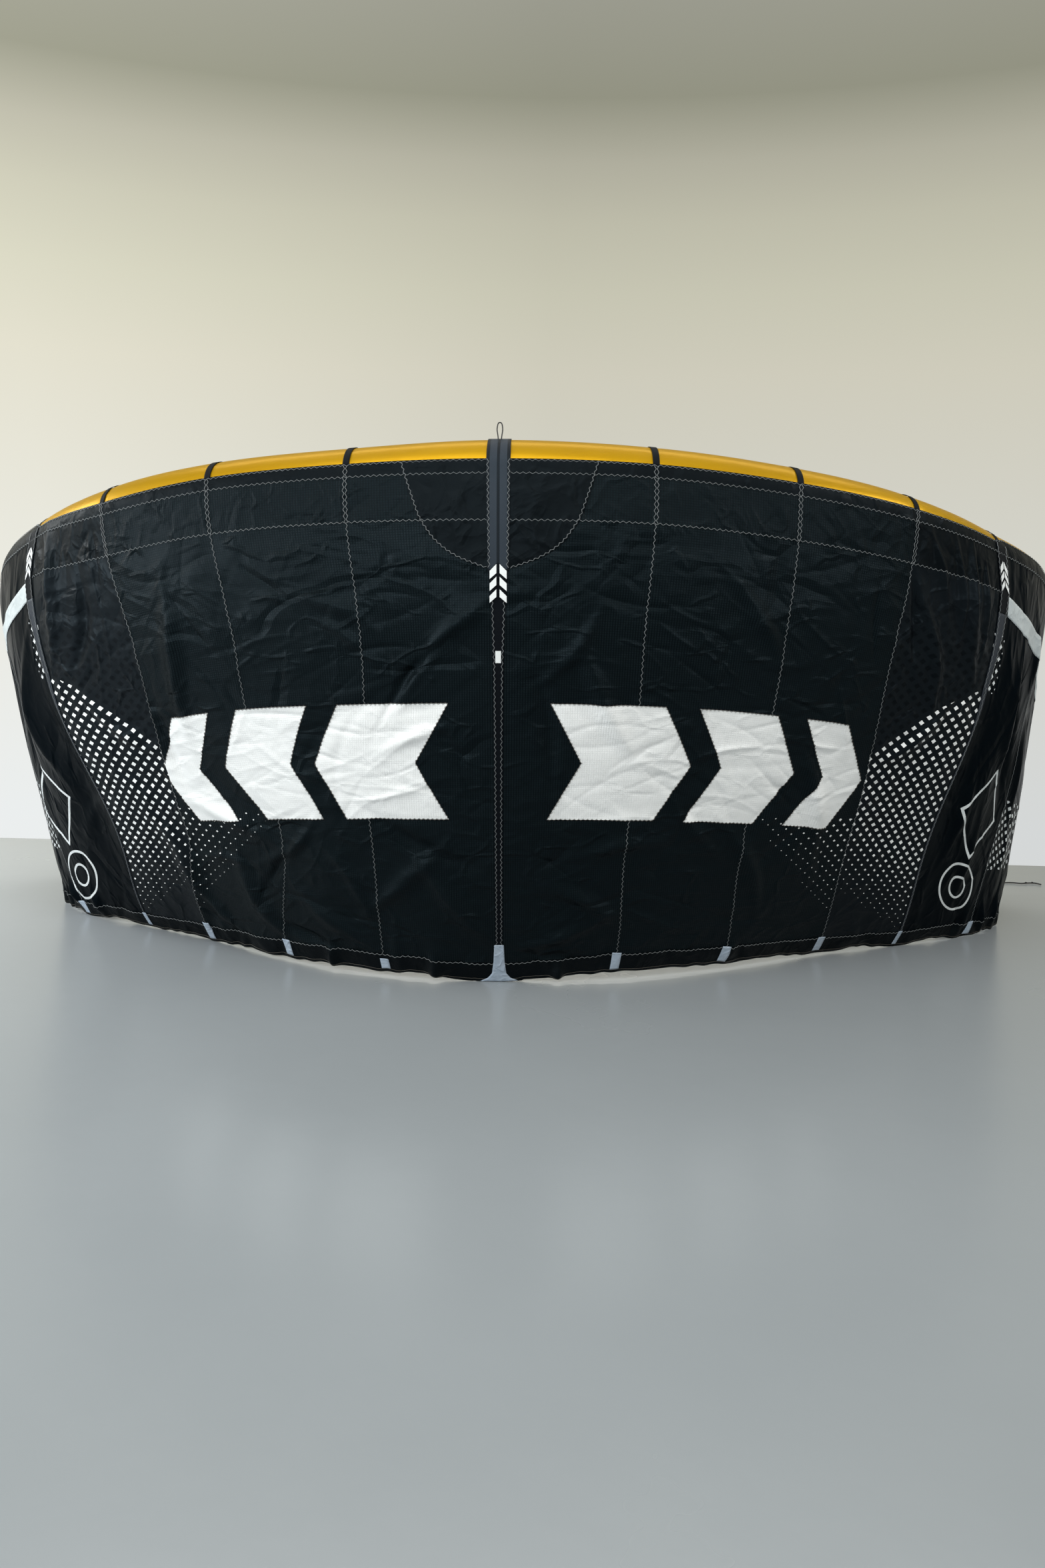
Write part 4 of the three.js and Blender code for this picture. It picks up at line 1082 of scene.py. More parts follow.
# %% The folded hem
HEM_LAYER = 0.001  # metres from the cloth's middle to each layer
span, down = np.meshgrid(np.linspace(-TIP, TIP, 900), np.linspace(HEM_START, 1, 12))
points = np.concatenate([canopy(span, down, HEM_LAYER), canopy(span[::-1], down[::-1], -HEM_LAYER)])
span, down = np.concatenate([span, span[::-1]]), np.concatenate([down, down[::-1]])
hem = make_piece("hem", points, grid_faces(*span.shape), maps_of(span, down), FIRM)
finish_cloth(hem, points, ["hem_left", "hem_right"])

# %% [markdown]
# ## Shield, tape and centre band
# Over the centre of the leading edge lies a shield of firm cloth. A twill tape runs over
# the tube and down on the shield, and a black band goes on from it to the trailing edge.
# They are strips with two layers, each a little higher than the one below, as they are
# when sewn. That keeps their faces apart without any gap that shows.

# %% Shield over the centre
SHIELD = (  # down, and the shield's half width there as span
    (0.003, 0.64), (0.06, 0.57), (0.1, 0.52), (0.135, 0.43), (0.158, 0.32), (0.172, 0.2), (0.184, 0.04),
)
shield_down = np.linspace(SHIELD[0][0], SHIELD[-1][0], 60)
shield_reach = np.interp(shield_down, *zip(*SHIELD))
shield_reach[3:-3] = np.convolve(shield_reach, np.ones(7) / 7, "valid")
span = np.linspace(-1, 1, 120)[None, :] * shield_reach[:, None]
down = np.repeat(shield_down[:, None], 120, axis=1)
shield, points = layered_strip("shield_cloth", span, down, "shield", FIRM)
finish_cloth(shield, points, ["shield"])


# %% A ribbon down the canopy
def metres_per_span(span, down):
    """How wide one unit of span is there."""
    left, right = (canopy(span + way, down, 0, False) for way in (-0.05, 0.05))
    return np.linalg.norm(left - right, axis=-1) / 0.1


def ribbon(name, centre, downs, half, layer, material, nodes, columns=7, shift=0.0):
    """A strip down the canopy. half is its half width at each down and shift how far it lies
    to the side of its seam, both in metres."""
    per = metres_per_span(centre, downs)
    span = centre + (shift / per)[:, None] + (half / per)[:, None] * np.linspace(-1, 1, columns)
    down = np.repeat(downs[:, None], columns, axis=1)
    piece, points = layered_strip(name, span, down, layer, material)
    finish_cloth(piece, points, nodes)


print("metres in one span by the centre:", round(float(metres_per_span(0, 0.05)), 3))

# %% Centre tape over the tube, and down over the shield
TAPE_HALF = 0.030  # metres: half its width at the top
TAPE_NARROW = 0.87  # share of that width at its end
TAPE_END = 0.186  # down
TAPE_LONG = 0.34  # metres, for the twill
TAPE_BACK = 84  # degrees round the tube, where the tape starts
TAPE_THICK = 0.001  # metres, as the next three
TAPE_ON_TUBE = 0.0016  # its lower face over the tube, far back
TAPE_CLIMB = 0.0022  # and how much it rises from the top on, to clear the shield
TAPE_ON_CLOTH = 0.0026  # its lower face over the cloth's middle


def centre_tape():
    per = metres_per_span(0, 0.05)
    ways = np.linspace(-1, 1, 13)
    edge = math.degrees(float(tube_frame(np.array([0.0]))["edge"][0]))
    angle = np.radians(np.linspace(TAPE_BACK, edge, 26))[:-1, None] * np.ones(len(ways))
    span = np.repeat((ways * TAPE_HALF / per)[None, :], len(angle), axis=0)
    tube = tube_frame(span)
    share = np.linspace(0, 1, len(angle))[:, None]
    radius = tube["radius"] + TAPE_ON_TUBE + np.maximum(0, 2 * share - 1) * TAPE_CLIMB
    narrow = np.linspace(1, TAPE_NARROW, 60)[:, None]
    flat_span, flat_down = np.broadcast_arrays(ways * TAPE_HALF / per * narrow,
                                               np.linspace(0.001, TAPE_END, 60)[:, None])
    top, low = (np.concatenate([around_tube(tube, angle, radius + thick) + ORIGIN,
                                canopy(flat_span, flat_down, TAPE_ON_CLOTH + thick)])
                for thick in (TAPE_THICK, 0))
    run = np.linspace(0, 1, len(top))[:, None] * np.ones(len(ways)) * TAPE_LONG
    widths = np.concatenate([np.ones((len(angle), 1)), narrow])
    cloth = np.stack([ways * TAPE_HALF * widths, run], -1)
    piece = closed_piece("centre_tape_cloth", top, low, {"cloth": cloth, "place": cloth}, TAPE)
    finish_cloth(piece, top, ["centre_tape"])


centre_tape()

# %% [markdown]
# ## Arrow rows, band point and label
# Small white arrows are printed on the centre band and on the struts' bands, the centre
# band ends in a point on the tape, and it carries a white label. A print could be a mask
# again, but a thin patch keeps its sharp edge when it is seen from near.


# %% Four-sided patches
def four_sided(corners, count=6):
    """A grid between four corners, upper left first and clockwise, as metres across and down."""
    upper_left, upper_right, lower_right, lower_left = np.array(corners, float)
    s, t = np.meshgrid(np.linspace(0, 1, count), np.linspace(0, 1, count))
    s, t = s[..., None], t[..., None]
    flat = (upper_left * (1 - s) + upper_right * s) * (1 - t) + (lower_left * (1 - s) + lower_right * s) * t
    return flat[..., 0], flat[..., 1]


def both_ways(corners):
    """A four-sided outline to the right of a line, and its mirror image to the left."""
    mirrored = [(-across, down) for across, down in corners]
    return [[mirrored[i] for i in (1, 0, 3, 2)], corners]


SWING_LEFT, SWING_RIGHT = 0.039, 0.033  # metres that the bands swing outward at most
BAND_TURN = 0.31  # down: where they have swung back to their seam


def band_lean(centre, down):
    """How far a strut's band swings outward of its seam, in metres. The centre band doesn't."""
    most = SWING_RIGHT if centre > 0 else SWING_LEFT
    lean = np.interp(down, (0, 0.04, 0.1, 0.2, BAND_TURN), (0.003, most * 0.4, most, 0.022, 0.0))
    return np.sign(centre) * lean


def patches(name, outlines, centre, layer, material, nodes=()):
    """Several four-sided patches of one cloth as one piece."""
    points, faces, maps = [], [], {"cloth": [], "place": []}
    for number, corners in enumerate(outlines):
        across, down = four_sided(corners)
        per = metres_per_span(centre, float(down.mean()))
        span = centre + (across + band_lean(centre, down)) / per
        points += two_layers(span, down, layer)
        faces += (np.array(closed_faces(*span.shape)) + number * 2 * span.size).tolist()
        for key, value in maps_of(span, down).items():
            maps[key] += [value, value]
    maps = {key: np.stack(values) for key, values in maps.items()}
    piece = make_piece(name, np.stack(points), faces, maps, material, False)
    dress(piece, nodes)
    print(f"{name}: {len(outlines)} patches")
    return piece


# %% Rows of arrows, the band's point and the label
BAR_LESS = 0.0016  # metres: how much thinner each arrow's bars are than those above


def arrow_row(name, centre, layer, start, pitch, half, gap, rise, thick):
    """Three arrows that point up, each of two slanted bars beside a gap. start is their down, and
    the other sizes are metres."""
    chord_here = float(chord(float(centre)))
    outlines = []
    for number in range(3):
        top = start + number * pitch / chord_here
        bar = (thick - number * BAR_LESS) / chord_here
        outlines += both_ways([(gap, top), (half, top + rise / chord_here),
                               (half, top + rise / chord_here + bar * 0.9), (gap, top + bar)])
    return patches(name, outlines, centre, layer, PRINT)


BAND_TOP_HALF = 0.0235  # metres: half of the band's width at its top
BAND_POINT = [(0, 0.1728), (BAND_TOP_HALF, 0.1862), (BAND_TOP_HALF, 0.199), (0, 0.199)]
LABEL = [(-0.0068, 0.322), (0.0068, 0.322), (0.0068, 0.343), (-0.0068, 0.343)]
band_point = patches("centre_band_point", both_ways(BAND_POINT), 0, "band point", BLACK_WEB)
band_arrows = arrow_row("centre_chevrons", 0, "band arrows", start=0.1752, pitch=0.0298, half=0.0209,
                        gap=0.0039, rise=0.0163, thick=0.0214)
strut_arrows = {side: arrow_row(f"strut_chevrons_{side}", sign * STRUT, "strut arrows", start=0.04,
                                pitch=0.0235, half=0.0195, gap=0.0022, rise=0.018, thick=0.0175)
                for side, sign in SIDES}
label = patches("label", [LABEL], 0, "label", PRINT, ["label_blank"])

# %% Centre band, with all that is sewn on it
BAND_STITCHES = ((0.235, 0.35, 0.5, 0.93), (0.0148, 0.0096, 0.0078, 0.0062))  # down, and metres to each side
BAND_MARGIN = 0.0035  # metres of cloth outside the stitches
downs = np.linspace(0.172, 0.934, 150)
edges = [row + BAND_MARGIN for row in BAND_STITCHES[1]]
half = np.interp(downs, (downs[0], *BAND_STITCHES[0]), (BAND_TOP_HALF, *edges))
ribbon("centre_band_cloth", 0, downs, half, "centre band", BLACK_WEB, ["centre_band"])

# %% [markdown]
# ## Strut bands, tabs, foot and flashes
# Along each outer strut a black band turns into grey tape. Pale tabs hold the hem at
# the seams, a flared foot ends the centre band, and a slanted pale flash crosses each
# tip. All are strips of their own width on the same canopy, so they need no fitting.


# %% Strut bands
BAND_TOP, GREY_FROM, BANDS_END = 0.004, 0.145, 0.948  # down, where they start, turn grey and end
STRUT_BAND = ((0, GREY_FROM, 0.36, 0.42, BANDS_END), (0.0265, 0.022, 0.009, 0.005, 0.004))  # and half width


def strut_band_half(down):
    return np.interp(down, *STRUT_BAND)


def strut_bands(side, centre):
    """Black down to where the band is narrow, and grey tape from there to the hem."""
    upper, lower = np.linspace(BAND_TOP, GREY_FROM, 40), np.linspace(GREY_FROM, BANDS_END, 150)
    ribbon(f"strut_band_top_{side}", centre, upper, strut_band_half(upper), "strut band", BLACK_WEB,
           [], shift=band_lean(centre, upper))
    ribbon(f"strut_tape_{side}", centre, lower, strut_band_half(lower), "strut band", GREY_TAPE,
           [f"strut_band_{side}"], shift=band_lean(centre, lower))


print("strut band's half width at its top:", float(strut_band_half(0)))

# %% Hem tabs, made with the strut bands of their side
TAB_HALF = 0.013  # metres; the strut's own tab is narrower
TAB_FROM, TAB_TO = 0.951, 0.991  # down
TAB_START = {("left", 1): 0.966, ("left", 3): 0.942}  # down, where a tab starts elsewhere
TAB_LEAN = {"left": (2, 5, 4, 3, 6), "right": (-3, -9, -8, -9, -9)}  # mm that a tab runs to the right


def hem_tabs(side, sign):
    for number, lean in enumerate(TAB_LEAN[side], 1):
        downs = np.linspace(TAB_START.get((side, number), TAB_FROM), TAB_TO, 12)
        half = TAB_HALF * (0.6 if number == STRUT else 1)
        shift = lean * MM * (downs - TAB_FROM) / (TAB_TO - TAB_FROM)
        ribbon(f"hem_tab_{side}_{number}", sign * number, downs, half, "hem tab", PALE,
               [f"tab_{side}_{number}"], 5, shift)


for side, sign in SIDES:
    strut_bands(side, sign * STRUT)
    hem_tabs(side, sign)

# %% Flared foot of the centre band
FOOT = ((0.91, 0.95, 0.978, 0.99, 0.998), (0.013, 0.0155, 0.02, 0.032, 0.053))  # down, and half width
downs = np.linspace(FOOT[0][0], FOOT[0][-1], 40)
ribbon("centre_foot_cloth", 0, downs, np.interp(downs, *FOOT), "foot", PALE,
       ["centre_foot"], 9)

# %% Slanted flashes on the tips
FLASH = (  # span, down of the upper edge, and width as down
    (4.16, 0.105, 0.042), (4.6, 0.138, 0.044), (5.1, 0.168, 0.046), (5.8, 0.23, 0.05), (6.4, 0.29, 0.054),
)
FLASH_SPAN, FLASH_TOP, FLASH_WIDE = zip(*FLASH)
at = np.linspace(FLASH_SPAN[0], FLASH_SPAN[-1], 90)
for side, sign in SIDES:
    out = at[::sign]  # so that span goes from left to right, as on every grid
    top, wide = np.interp(out, FLASH_SPAN, FLASH_TOP), np.interp(out, FLASH_SPAN, FLASH_WIDE)
    down = top + np.linspace(0, 1, 9)[:, None] * wide
    span = np.repeat((out * sign)[None, :], 9, axis=0)
    flash, points = layered_strip(f"flash_cloth_{side}", span, down, "flash", PALE_FLASH)
    finish_cloth(flash, points, [f"flash_{side}"])

# %% [markdown]
# ## Straps over the tube's joints
# A black strap covers each joint of the tube, from under the canopy's edge over the tube
# to its back. A strip cut from the tube's own faces would be as coarse as they are. This
# one is worked out from the tube's middle line, so it sits at an even height all the way.

# %% The straps
STRAP_HALF = 0.0085  # metres
STRAP_BACK = 250  # degrees round the tube, where it ends
STRAP_FACES = (0.0016, 0.0004)  # metres over the tube: its upper and its lower face


def strap(name, centre):
    per = float(np.linalg.norm(lead_point(centre + 0.05) - lead_point(centre - 0.05))) / 0.1
    edge = float(tube_frame(np.array([centre]))["edge"][0])
    span, angle = np.meshgrid(centre + np.linspace(-1, 1, 7) * STRAP_HALF / per,
                              np.linspace(edge - 0.05, math.radians(STRAP_BACK), 60))
    tube = tube_frame(span)
    top, low = (around_tube(tube, angle, tube["radius"] + rise) + ORIGIN for rise in STRAP_FACES)
    cloth = np.stack([(span - centre) * per, angle * tube["radius"]], -1)
    piece = closed_piece(name, top, low, {"cloth": cloth}, BLACK_WEB)
    piece.data.flip_normals()
    finish_cloth(piece, top, [])


for side, sign in SIDES:
    for number in (1, 2, 3, 4):
        strap(f"joint_strap_{side}_{number}", float(sign * number))

# %% [markdown]
# ## Struts on the inner face
# Three inflated tubes on the inner face give the canopy its profile, and they taper
# towards the trailing edge. Straight cylinders would cut through the bulged cloth, so
# these are rings along the canopy's own line, one radius behind it, closed at both ends.

# %% The struts
STRUT_ENDS = (0.05, 0.03)  # metres: radius at the leading edge, and near the trailing edge
STRUT_LAST = 0.925  # down: where the taper ends and the round tail begins
STRUT_GAP = 0.00125  # metres from the cloth's middle to the tube
STRUT_TAIL = ((0.929, 0.94), (0.933, 0.8), (0.936, 0.55), (0.938, 0.15))  # down, and share of the radius


def strut_piece(name, centre, start):
    tail_downs, tail_scale = zip(*STRUT_TAIL)
    downs = np.concatenate([np.linspace(start, STRUT_LAST, 90), tail_downs])
    scale = np.concatenate([[0.96], np.ones(89), tail_scale])
    full = np.interp(downs, (0, STRUT_LAST), STRUT_ENDS)
    spans = np.full(downs.shape, centre)
    middle = canopy(spans, downs, -(full + STRUT_GAP), False)
    along = unit(np.gradient(middle, axis=0))
    aside = unit(np.cross(along, open_normal(spans, downs)))
    out = unit(np.cross(aside, along))
    angles = np.linspace(0, 2 * np.pi, 33)
    wobble = 1 + 0.012 * np.sin(downs * 160)[:, None] * np.exp(-((np.abs(angles - np.pi) / 1.2) ** 2))
    radius = (full * scale)[:, None] * wobble
    points = (middle[:, None] + aside[:, None] * (radius * np.sin(angles))[..., None]
              + out[:, None] * (radius * np.cos(angles))[..., None])
    first, last = (np.repeat(ring.mean(axis=1, keepdims=True), len(angles), axis=1)
                   for ring in (points[:1], points[-1:]))
    points = np.concatenate([first, points, last])
    run = np.concatenate([[0], downs, [0.94]]) * 1.3
    cloth = np.stack(np.broadcast_arrays(angles * 0.04, run[:, None]), -1)
    faces = grid_faces(*points.shape[:2])[:, ::-1]
    piece = make_piece(f"{name}_inflated", points, faces, {"cloth": cloth}, GOLD)
    dress(piece, [name])
    print(piece.name, "starts at down", round(start, 3))


def strut_start(name, centre):
    """The down where the solid strut's upper end lies, found from its box."""
    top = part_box(name)[1][2]
    seek = np.linspace(0.05, 0.25, 400)
    levels = canopy(np.full(seek.shape, centre), seek, -0.05, False)[:, 2]
    return float(seek[np.argmin(np.abs(levels + 0.012 - top))])


for name, centre in (("strut_centre", 0.0), ("strut_left", -float(STRUT)), ("strut_right", float(STRUT))):
    strut_piece(name, centre, strut_start(name, centre))

# %% [markdown]
# ## Zigzag stitches
# Every seam of a kite is sewn with a zigzag of grey thread. A Geometry Nodes tree does
# this for any path: it cuts the path into even steps, moves every second point to the
# other side, and sweeps a thin round thread along the result. The path's points carry
# the cloth's normal, so that the thread lies flat on curved cloth.


# %% The zigzag tree
ZIGZAG_INPUTS = {"Geometry": "NodeSocketGeometry", "Step": "NodeSocketFloat", "Width": "NodeSocketFloat",
                 "Thread": "NodeSocketFloat", "Material": "NodeSocketMaterial"}


def zigzag_tree():
    """From a path of edges to a thread that zigzags along it. Step, Width and Thread are metres."""
    tree = bpy.data.node_groups.new("zigzag_stitches", "GeometryNodeTree")
    web = Web(tree)
    for name, kind in ZIGZAG_INPUTS.items():
        tree.interface.new_socket(name, in_out="INPUT", socket_type=kind)
    tree.interface.new_socket("Geometry", in_out="OUTPUT", socket_type="NodeSocketGeometry")
    given = {socket.name: Value(web, socket) for socket in tree.nodes.new("NodeGroupInput").outputs}
    curve = web.node("GeometryNodeMeshToCurve", None, {0: given["Geometry"]})
    even = web.node("GeometryNodeResampleCurve", {"mode": "LENGTH"},
                    {"Curve": curve, "Length": given["Step"]})
    normal = web.node("GeometryNodeInputNamedAttribute", {"data_type": "FLOAT_VECTOR"},
                      {"Name": "cloth_normal"})
    side = web.node("ShaderNodeVectorMath", {"operation": "CROSS_PRODUCT"},
                    {0: normal, 1: web.node("GeometryNodeInputTangent")})
    flat = web.node("ShaderNodeVectorMath", {"operation": "NORMALIZE"}, {0: side})
    odd = web.math("MODULO", web.node("GeometryNodeInputIndex"), 2.0)
    shift = web.node("ShaderNodeVectorMath", {"operation": "SCALE"},
                     {0: flat, "Scale": (odd - 0.5) * given["Width"]})
    moved = web.node("GeometryNodeSetPosition", None, {"Geometry": even, "Offset": shift})
    ring = web.node("GeometryNodeCurvePrimitiveCircle", {"mode": "RADIUS"},
                    {"Resolution": 5, "Radius": given["Thread"] * 0.5})
    thread = web.node("GeometryNodeCurveToMesh", None,
                      {"Curve": moved, "Profile Curve": ring, "Fill Caps": True})
    real = web.node("GeometryNodeRealizeInstances", None, {0: thread})
    coloured = web.node("GeometryNodeSetMaterial", None, {"Geometry": real, "Material": given["Material"]})
    web.put(tree.nodes.new("NodeGroupOutput").inputs[0], coloured)
    return tree


ZIGZAG = zigzag_tree()
print("zigzag tree nodes:", len(ZIGZAG.nodes))


# %% Lay stitches along paths on the cloth
OVER = {  # metres from the cloth's middle to the thread, which lies on whatever is sewn there
    "chevron": 0.0006, "canopy": 0.0012, "band end": 0.0014, "front row": 0.0016, "hem's edge": 0.0018,
    "hem": 0.0022, "centre band": 0.0022, "shield": 0.0023, "strut tape": 0.0026, "strut band": 0.0032,
    "centre tape": 0.0042,
}


def skin_normal(span, down):
    step = 0.004  # span, and down as well
    right, left = (canopy(span + way, down, 0, False) for way in (step, -step))
    below = canopy(span, np.minimum(down + step, 1), 0, False)
    above = canopy(span, np.maximum(down - step, 0), 0, False)
    return unit(np.cross(below - above, right - left))


def path_on(span, down, over="canopy"):
    """Points on a line of the canopy, and the cloth's normals there."""
    span, down = np.broadcast_arrays(np.asarray(span, float), np.asarray(down, float))
    return canopy(span, down, OVER[over]), skin_normal(span, down)


def sew(name, paths, material, step=0.0078, width=0.0048, thread=0.0014):
    """Makes one piece of thread along paths, each of points and normals. step is from one turn
    of the zigzag to the next, width is across it, and thread is a diameter, all in metres."""
    mesh = bpy.data.meshes.new(name + "_paths")
    edges, count = [], 0
    for path, _ in paths:
        edges += [(count + i, count + i + 1) for i in range(len(path) - 1)]
        count += len(path)
    mesh.from_pydata(np.concatenate([path for path, _ in paths]), edges, [])
    normals = np.concatenate([normal for _, normal in paths])
    layer = mesh.attributes.new("cloth_normal", "FLOAT_VECTOR", "POINT")
    layer.data.foreach_set("vector", normals.astype(np.float32).ravel())
    guide = add_object(name + "_paths", mesh)
    modifier = guide.modifiers.new("zigzag", "NODES")
    modifier.node_group = ZIGZAG
    given = {item.name: item.identifier for item in ZIGZAG.interface.items_tree if item.in_out == "INPUT"}
    for key, value in (("Step", step), ("Width", width), ("Thread", thread), ("Material", material)):
        modifier[given[key]] = value
    seen = guide.evaluated_get(bpy.context.evaluated_depsgraph_get())
    result = bpy.data.meshes.new_from_object(seen)
    result.name = name
    piece = add_object(name, result)
    bpy.data.objects.remove(guide)
    dress(piece)
    print(f"{name}: {len(result.polygons)} faces")


# %% Seams stop where a sewn chevron covers them
def on_chevron(span, down):
    """True where a white chevron covers the cloth."""
    rise = np.abs(down * chord(span) - MOTIF_MIDDLE)
    slanted = np.abs(metres_across(span)) + rise * MOTIF_LEAN - MOTIF_HALF * MOTIF_LEAN
    inside = [(slanted > inner) & (slanted < inner + wide) for inner, wide in CHEVRONS]
    return np.any(inside, axis=0) & (rise < MOTIF_HALF)


def open_runs(span, down):
    """The parts of a seam that no chevron covers."""
    covered = on_chevron(span, down)
    cuts = np.flatnonzero(np.diff(covered.astype(int))) + 1
    runs = np.split(np.arange(len(down)), cuts)
    return [path_on(span[run], down[run]) for run in runs if not covered[run[0]] and len(run) > 3]


def chevron_outline(inner, wide, sign):
    """Points round one chevron, as span and down."""
    point = inner + MOTIF_HALF * MOTIF_LEAN
    corners = np.array([(inner, -MOTIF_HALF), (point, 0), (inner, MOTIF_HALF), (inner + wide, MOTIF_HALF),
                        (point + wide, 0), (inner + wide, -MOTIF_HALF), (inner, -MOTIF_HALF)])
    run = np.linspace(0, 6, 361)
    across = np.interp(run, np.arange(7), corners[:, 0]) * sign
    down_metres = np.interp(run, np.arange(7), corners[:, 1]) + MOTIF_MIDDLE
    span = np.interp(across, ACROSS, SPAN_STEPS)
    return span, down_metres / chord(span)


# %% Stitches along the leading edge and the front row
long_way = np.linspace(-6.95, 6.95, 1200)  # span, nearly from tip to tip
strut_to_strut = np.linspace(-4.02, 4.02, 900)
sew("edge_stitches", [path_on(long_way, band_start(long_way) + 0.0035),
                      path_on(long_way, BAND_END - 0.001, "band end"),
                      path_on(strut_to_strut, FRONT_END, "band end")], THREAD)

# %% Stitches along the seams
SEAM_END = 0.95  # down: where the hem covers the seams' stitches
PAIR_HALF = 0.0035  # metres: half the way between the two rows on the front row's seams
rows = []
front_down = np.linspace(0.004, FRONT_END, 60)
main_down = np.linspace(FRONT_END, 0.952, 420)
for side, sign in SIDES:
    for number in (1, 2, 3):
        aside = PAIR_HALF / metres_per_span(sign * number, 0.06)
        rows += [path_on(sign * number + way * aside, front_down, "front row") for way in (-1, 1)]
        rows += open_runs(np.full(main_down.shape, float(sign * number)), main_down)
    rows.append(path_on(sign * 5, np.linspace(BAND_END, SEAM_END, 420)))
    centre = sign * STRUT
    rows.append(path_on(centre, np.linspace(BAND_TURN, SEAM_END, 300), "strut tape"))
    downs = np.linspace(0.006, BAND_TURN, 200)
    half = np.maximum(strut_band_half(downs) - 0.003, 0.002)
    rows += [path_on(centre + (band_lean(centre, downs) + way * half) / metres_per_span(centre, downs),
                     downs, "strut band") for way in (-1, 1)]
sew("seam_stitches", rows, THREAD)

# %% Stitches round the sewn chevrons, and on the hem
rows = [path_on(*chevron_outline(inner, wide, sign), "chevron") for _, sign in SIDES
        for inner, wide in CHEVRONS]
sew("chevron_stitches", rows, DARK_THREAD, step=0.006, width=0.0045, thread=0.0012)
sew("hem_stitches", [path_on(long_way, HEM_START + 0.0015, "hem")], THREAD)
sew("hem_edge_stitches", [path_on(long_way, 0.9925, "hem's edge")], DARK_THREAD, step=0.006,
    width=0.0004, thread=0.0009)

# %% Stitches on the shield, the tape and the centre band
SHIELD_MARGIN = 0.012  # span, between the shield's edge and its stitches
TAPE_COVERS = 0.074  # span: the shield's stitches end where they come this near the centre
TAPE_STITCHES = (0.0262, 0.0228)  # metres from the tape's middle, at its top and at its end
downs = np.linspace(0.003, 0.184, 500)
reach = np.interp(downs, shield_down, shield_reach) - SHIELD_MARGIN
beside_tape = reach > TAPE_COVERS
rows = [path_on(sign * reach[beside_tape], downs[beside_tape], "shield") for _, sign in SIDES]
sew("shield_stitches", rows, THREAD, step=0.0071, width=0.0042)
downs = np.linspace(0.002, 0.181, 90)
half = np.linspace(*TAPE_STITCHES, 90) / metres_per_span(0, 0.05)
sew("tape_stitches", [path_on(way * half, downs, "centre tape") for way in (-1, 1)], THREAD, width=0.0052)
downs = np.linspace(BAND_STITCHES[0][0], BAND_STITCHES[0][-1], 420)
half = np.interp(downs, *BAND_STITCHES) / metres_per_span(0, downs)
sew("band_stitches", [path_on(way * half, downs, "centre band") for way in (-1, 1)], THREAD, width=0.0044)

# %% [markdown]
# ## Cords
# The loop on top of the tape is a keeper for folding the kite away. The pigtail is a
# short leader line at the right tip; it lies on the floor in a loose curve with two
# knots. A simulation could lay it down, but not where it is wanted. So a cord's route is
# a few points with a smooth curve through them, the same ones that the solids have.


# %% Round cords along a route
def smooth_route(points, steps=12):
    points = np.array(points, float)
    padded = np.concatenate([[2 * points[0] - points[1]], points, [2 * points[-1] - points[-2]]])
    line = []
    for i in range(1, len(padded) - 2):
        p0, p1, p2, p3 = padded[i - 1:i + 3]
        for t in np.linspace(0, 1, steps, endpoint=False):
            line.append(0.5 * (2 * p1 + (p2 - p0) * t + (2 * p0 - 5 * p1 + 4 * p2 - p3) * t**2
                               + (3 * p1 - p0 - 3 * p2 + p3) * t**3))
    return np.array([*line, padded[-2]])


def cord_curve(name, route, diameter, closed=False):
    data = bpy.data.curves.new(name, "CURVE")
    data.dimensions = "3D"
    spline = data.splines.new("POLY")
    spline.points.add(len(route) - 1)
    spline.points.foreach_set("co", np.c_[route, np.ones(len(route))].ravel())
    spline.use_cyclic_u = closed
    data.bevel_depth = diameter / 2
    data.bevel_resolution = 2 if closed else 3
    data.use_fill_caps = not closed
    data.materials.append(CORD)
    piece = add_object(name, data)
    dress(piece)
    return piece


def length_of(route):
    return float(np.linalg.norm(np.diff(route, axis=0), axis=1).sum())


print("cord helpers ready")

# %% The loop on the tape
LOOP = ((-4, 0), (-5, 8), (-7, 22), (-5, 35), (0, 39), (5, 35), (7, 22), (5, 8), (4, 0))  # mm across and up
LOOP_DIAMETER = 0.003
LOOP_ANGLE = 58  # degrees round the tube
LOOP_SEAT = 0.0035  # metres over the tube: the upper face of the tape
tube = tube_frame(np.array([0.0]))
seat = around_tube(tube, np.array([math.radians(LOOP_ANGLE)]), tube["radius"] + LOOP_SEAT)[0] + ORIGIN
loop_route = smooth_route([seat + np.array([x, -z * 0.1, z]) * MM for x, z in LOOP])
loop = cord_curve("keeper_loop", loop_route, LOOP_DIAMETER)
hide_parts("loop_cord")
print("loop length:", round(length_of(loop_route), 3))

# %% The pigtail on the floor
PIGTAIL = (  # mm from the table's zero
    (1577, 1146, 10), (1598, 1178, 4), (1640, 1222, 4), (1690, 1268, 4), (1752, 1312, 4),
    (1820, 1350, 4), (1880, 1370, 4), (1925, 1380, 4), (1960, 1384, 4), (1990, 1374, 4),
    (2020, 1384, 4), (2048, 1386, 4), (2066, 1366, 4),
)
PIGTAIL_DIAMETER = 0.005
PIGTAIL_CLEAR = 0.0007  # metres between the hem and the cord
start = canopy([TIP - 0.03], [0.975], -(HEM_LAYER + PIGTAIL_CLEAR + PIGTAIL_DIAMETER / 2), False)[0]
route = smooth_route([start, *(np.array(point) * MM + ORIGIN for point in PIGTAIL)])
print("pigtail length:", round(length_of(route), 3))

# %% Its knots
KNOT_PLACES = (0.83, 0.9)  # share of the pigtail's points
KNOT_SIZE = 0.0045  # metres
KNOT_THICK = 0.72  # share of the cord's diameter, because a knot pulls it thin
KNOT_LIFT = 0.0015  # metres over the cord's middle, so that it lies on the floor


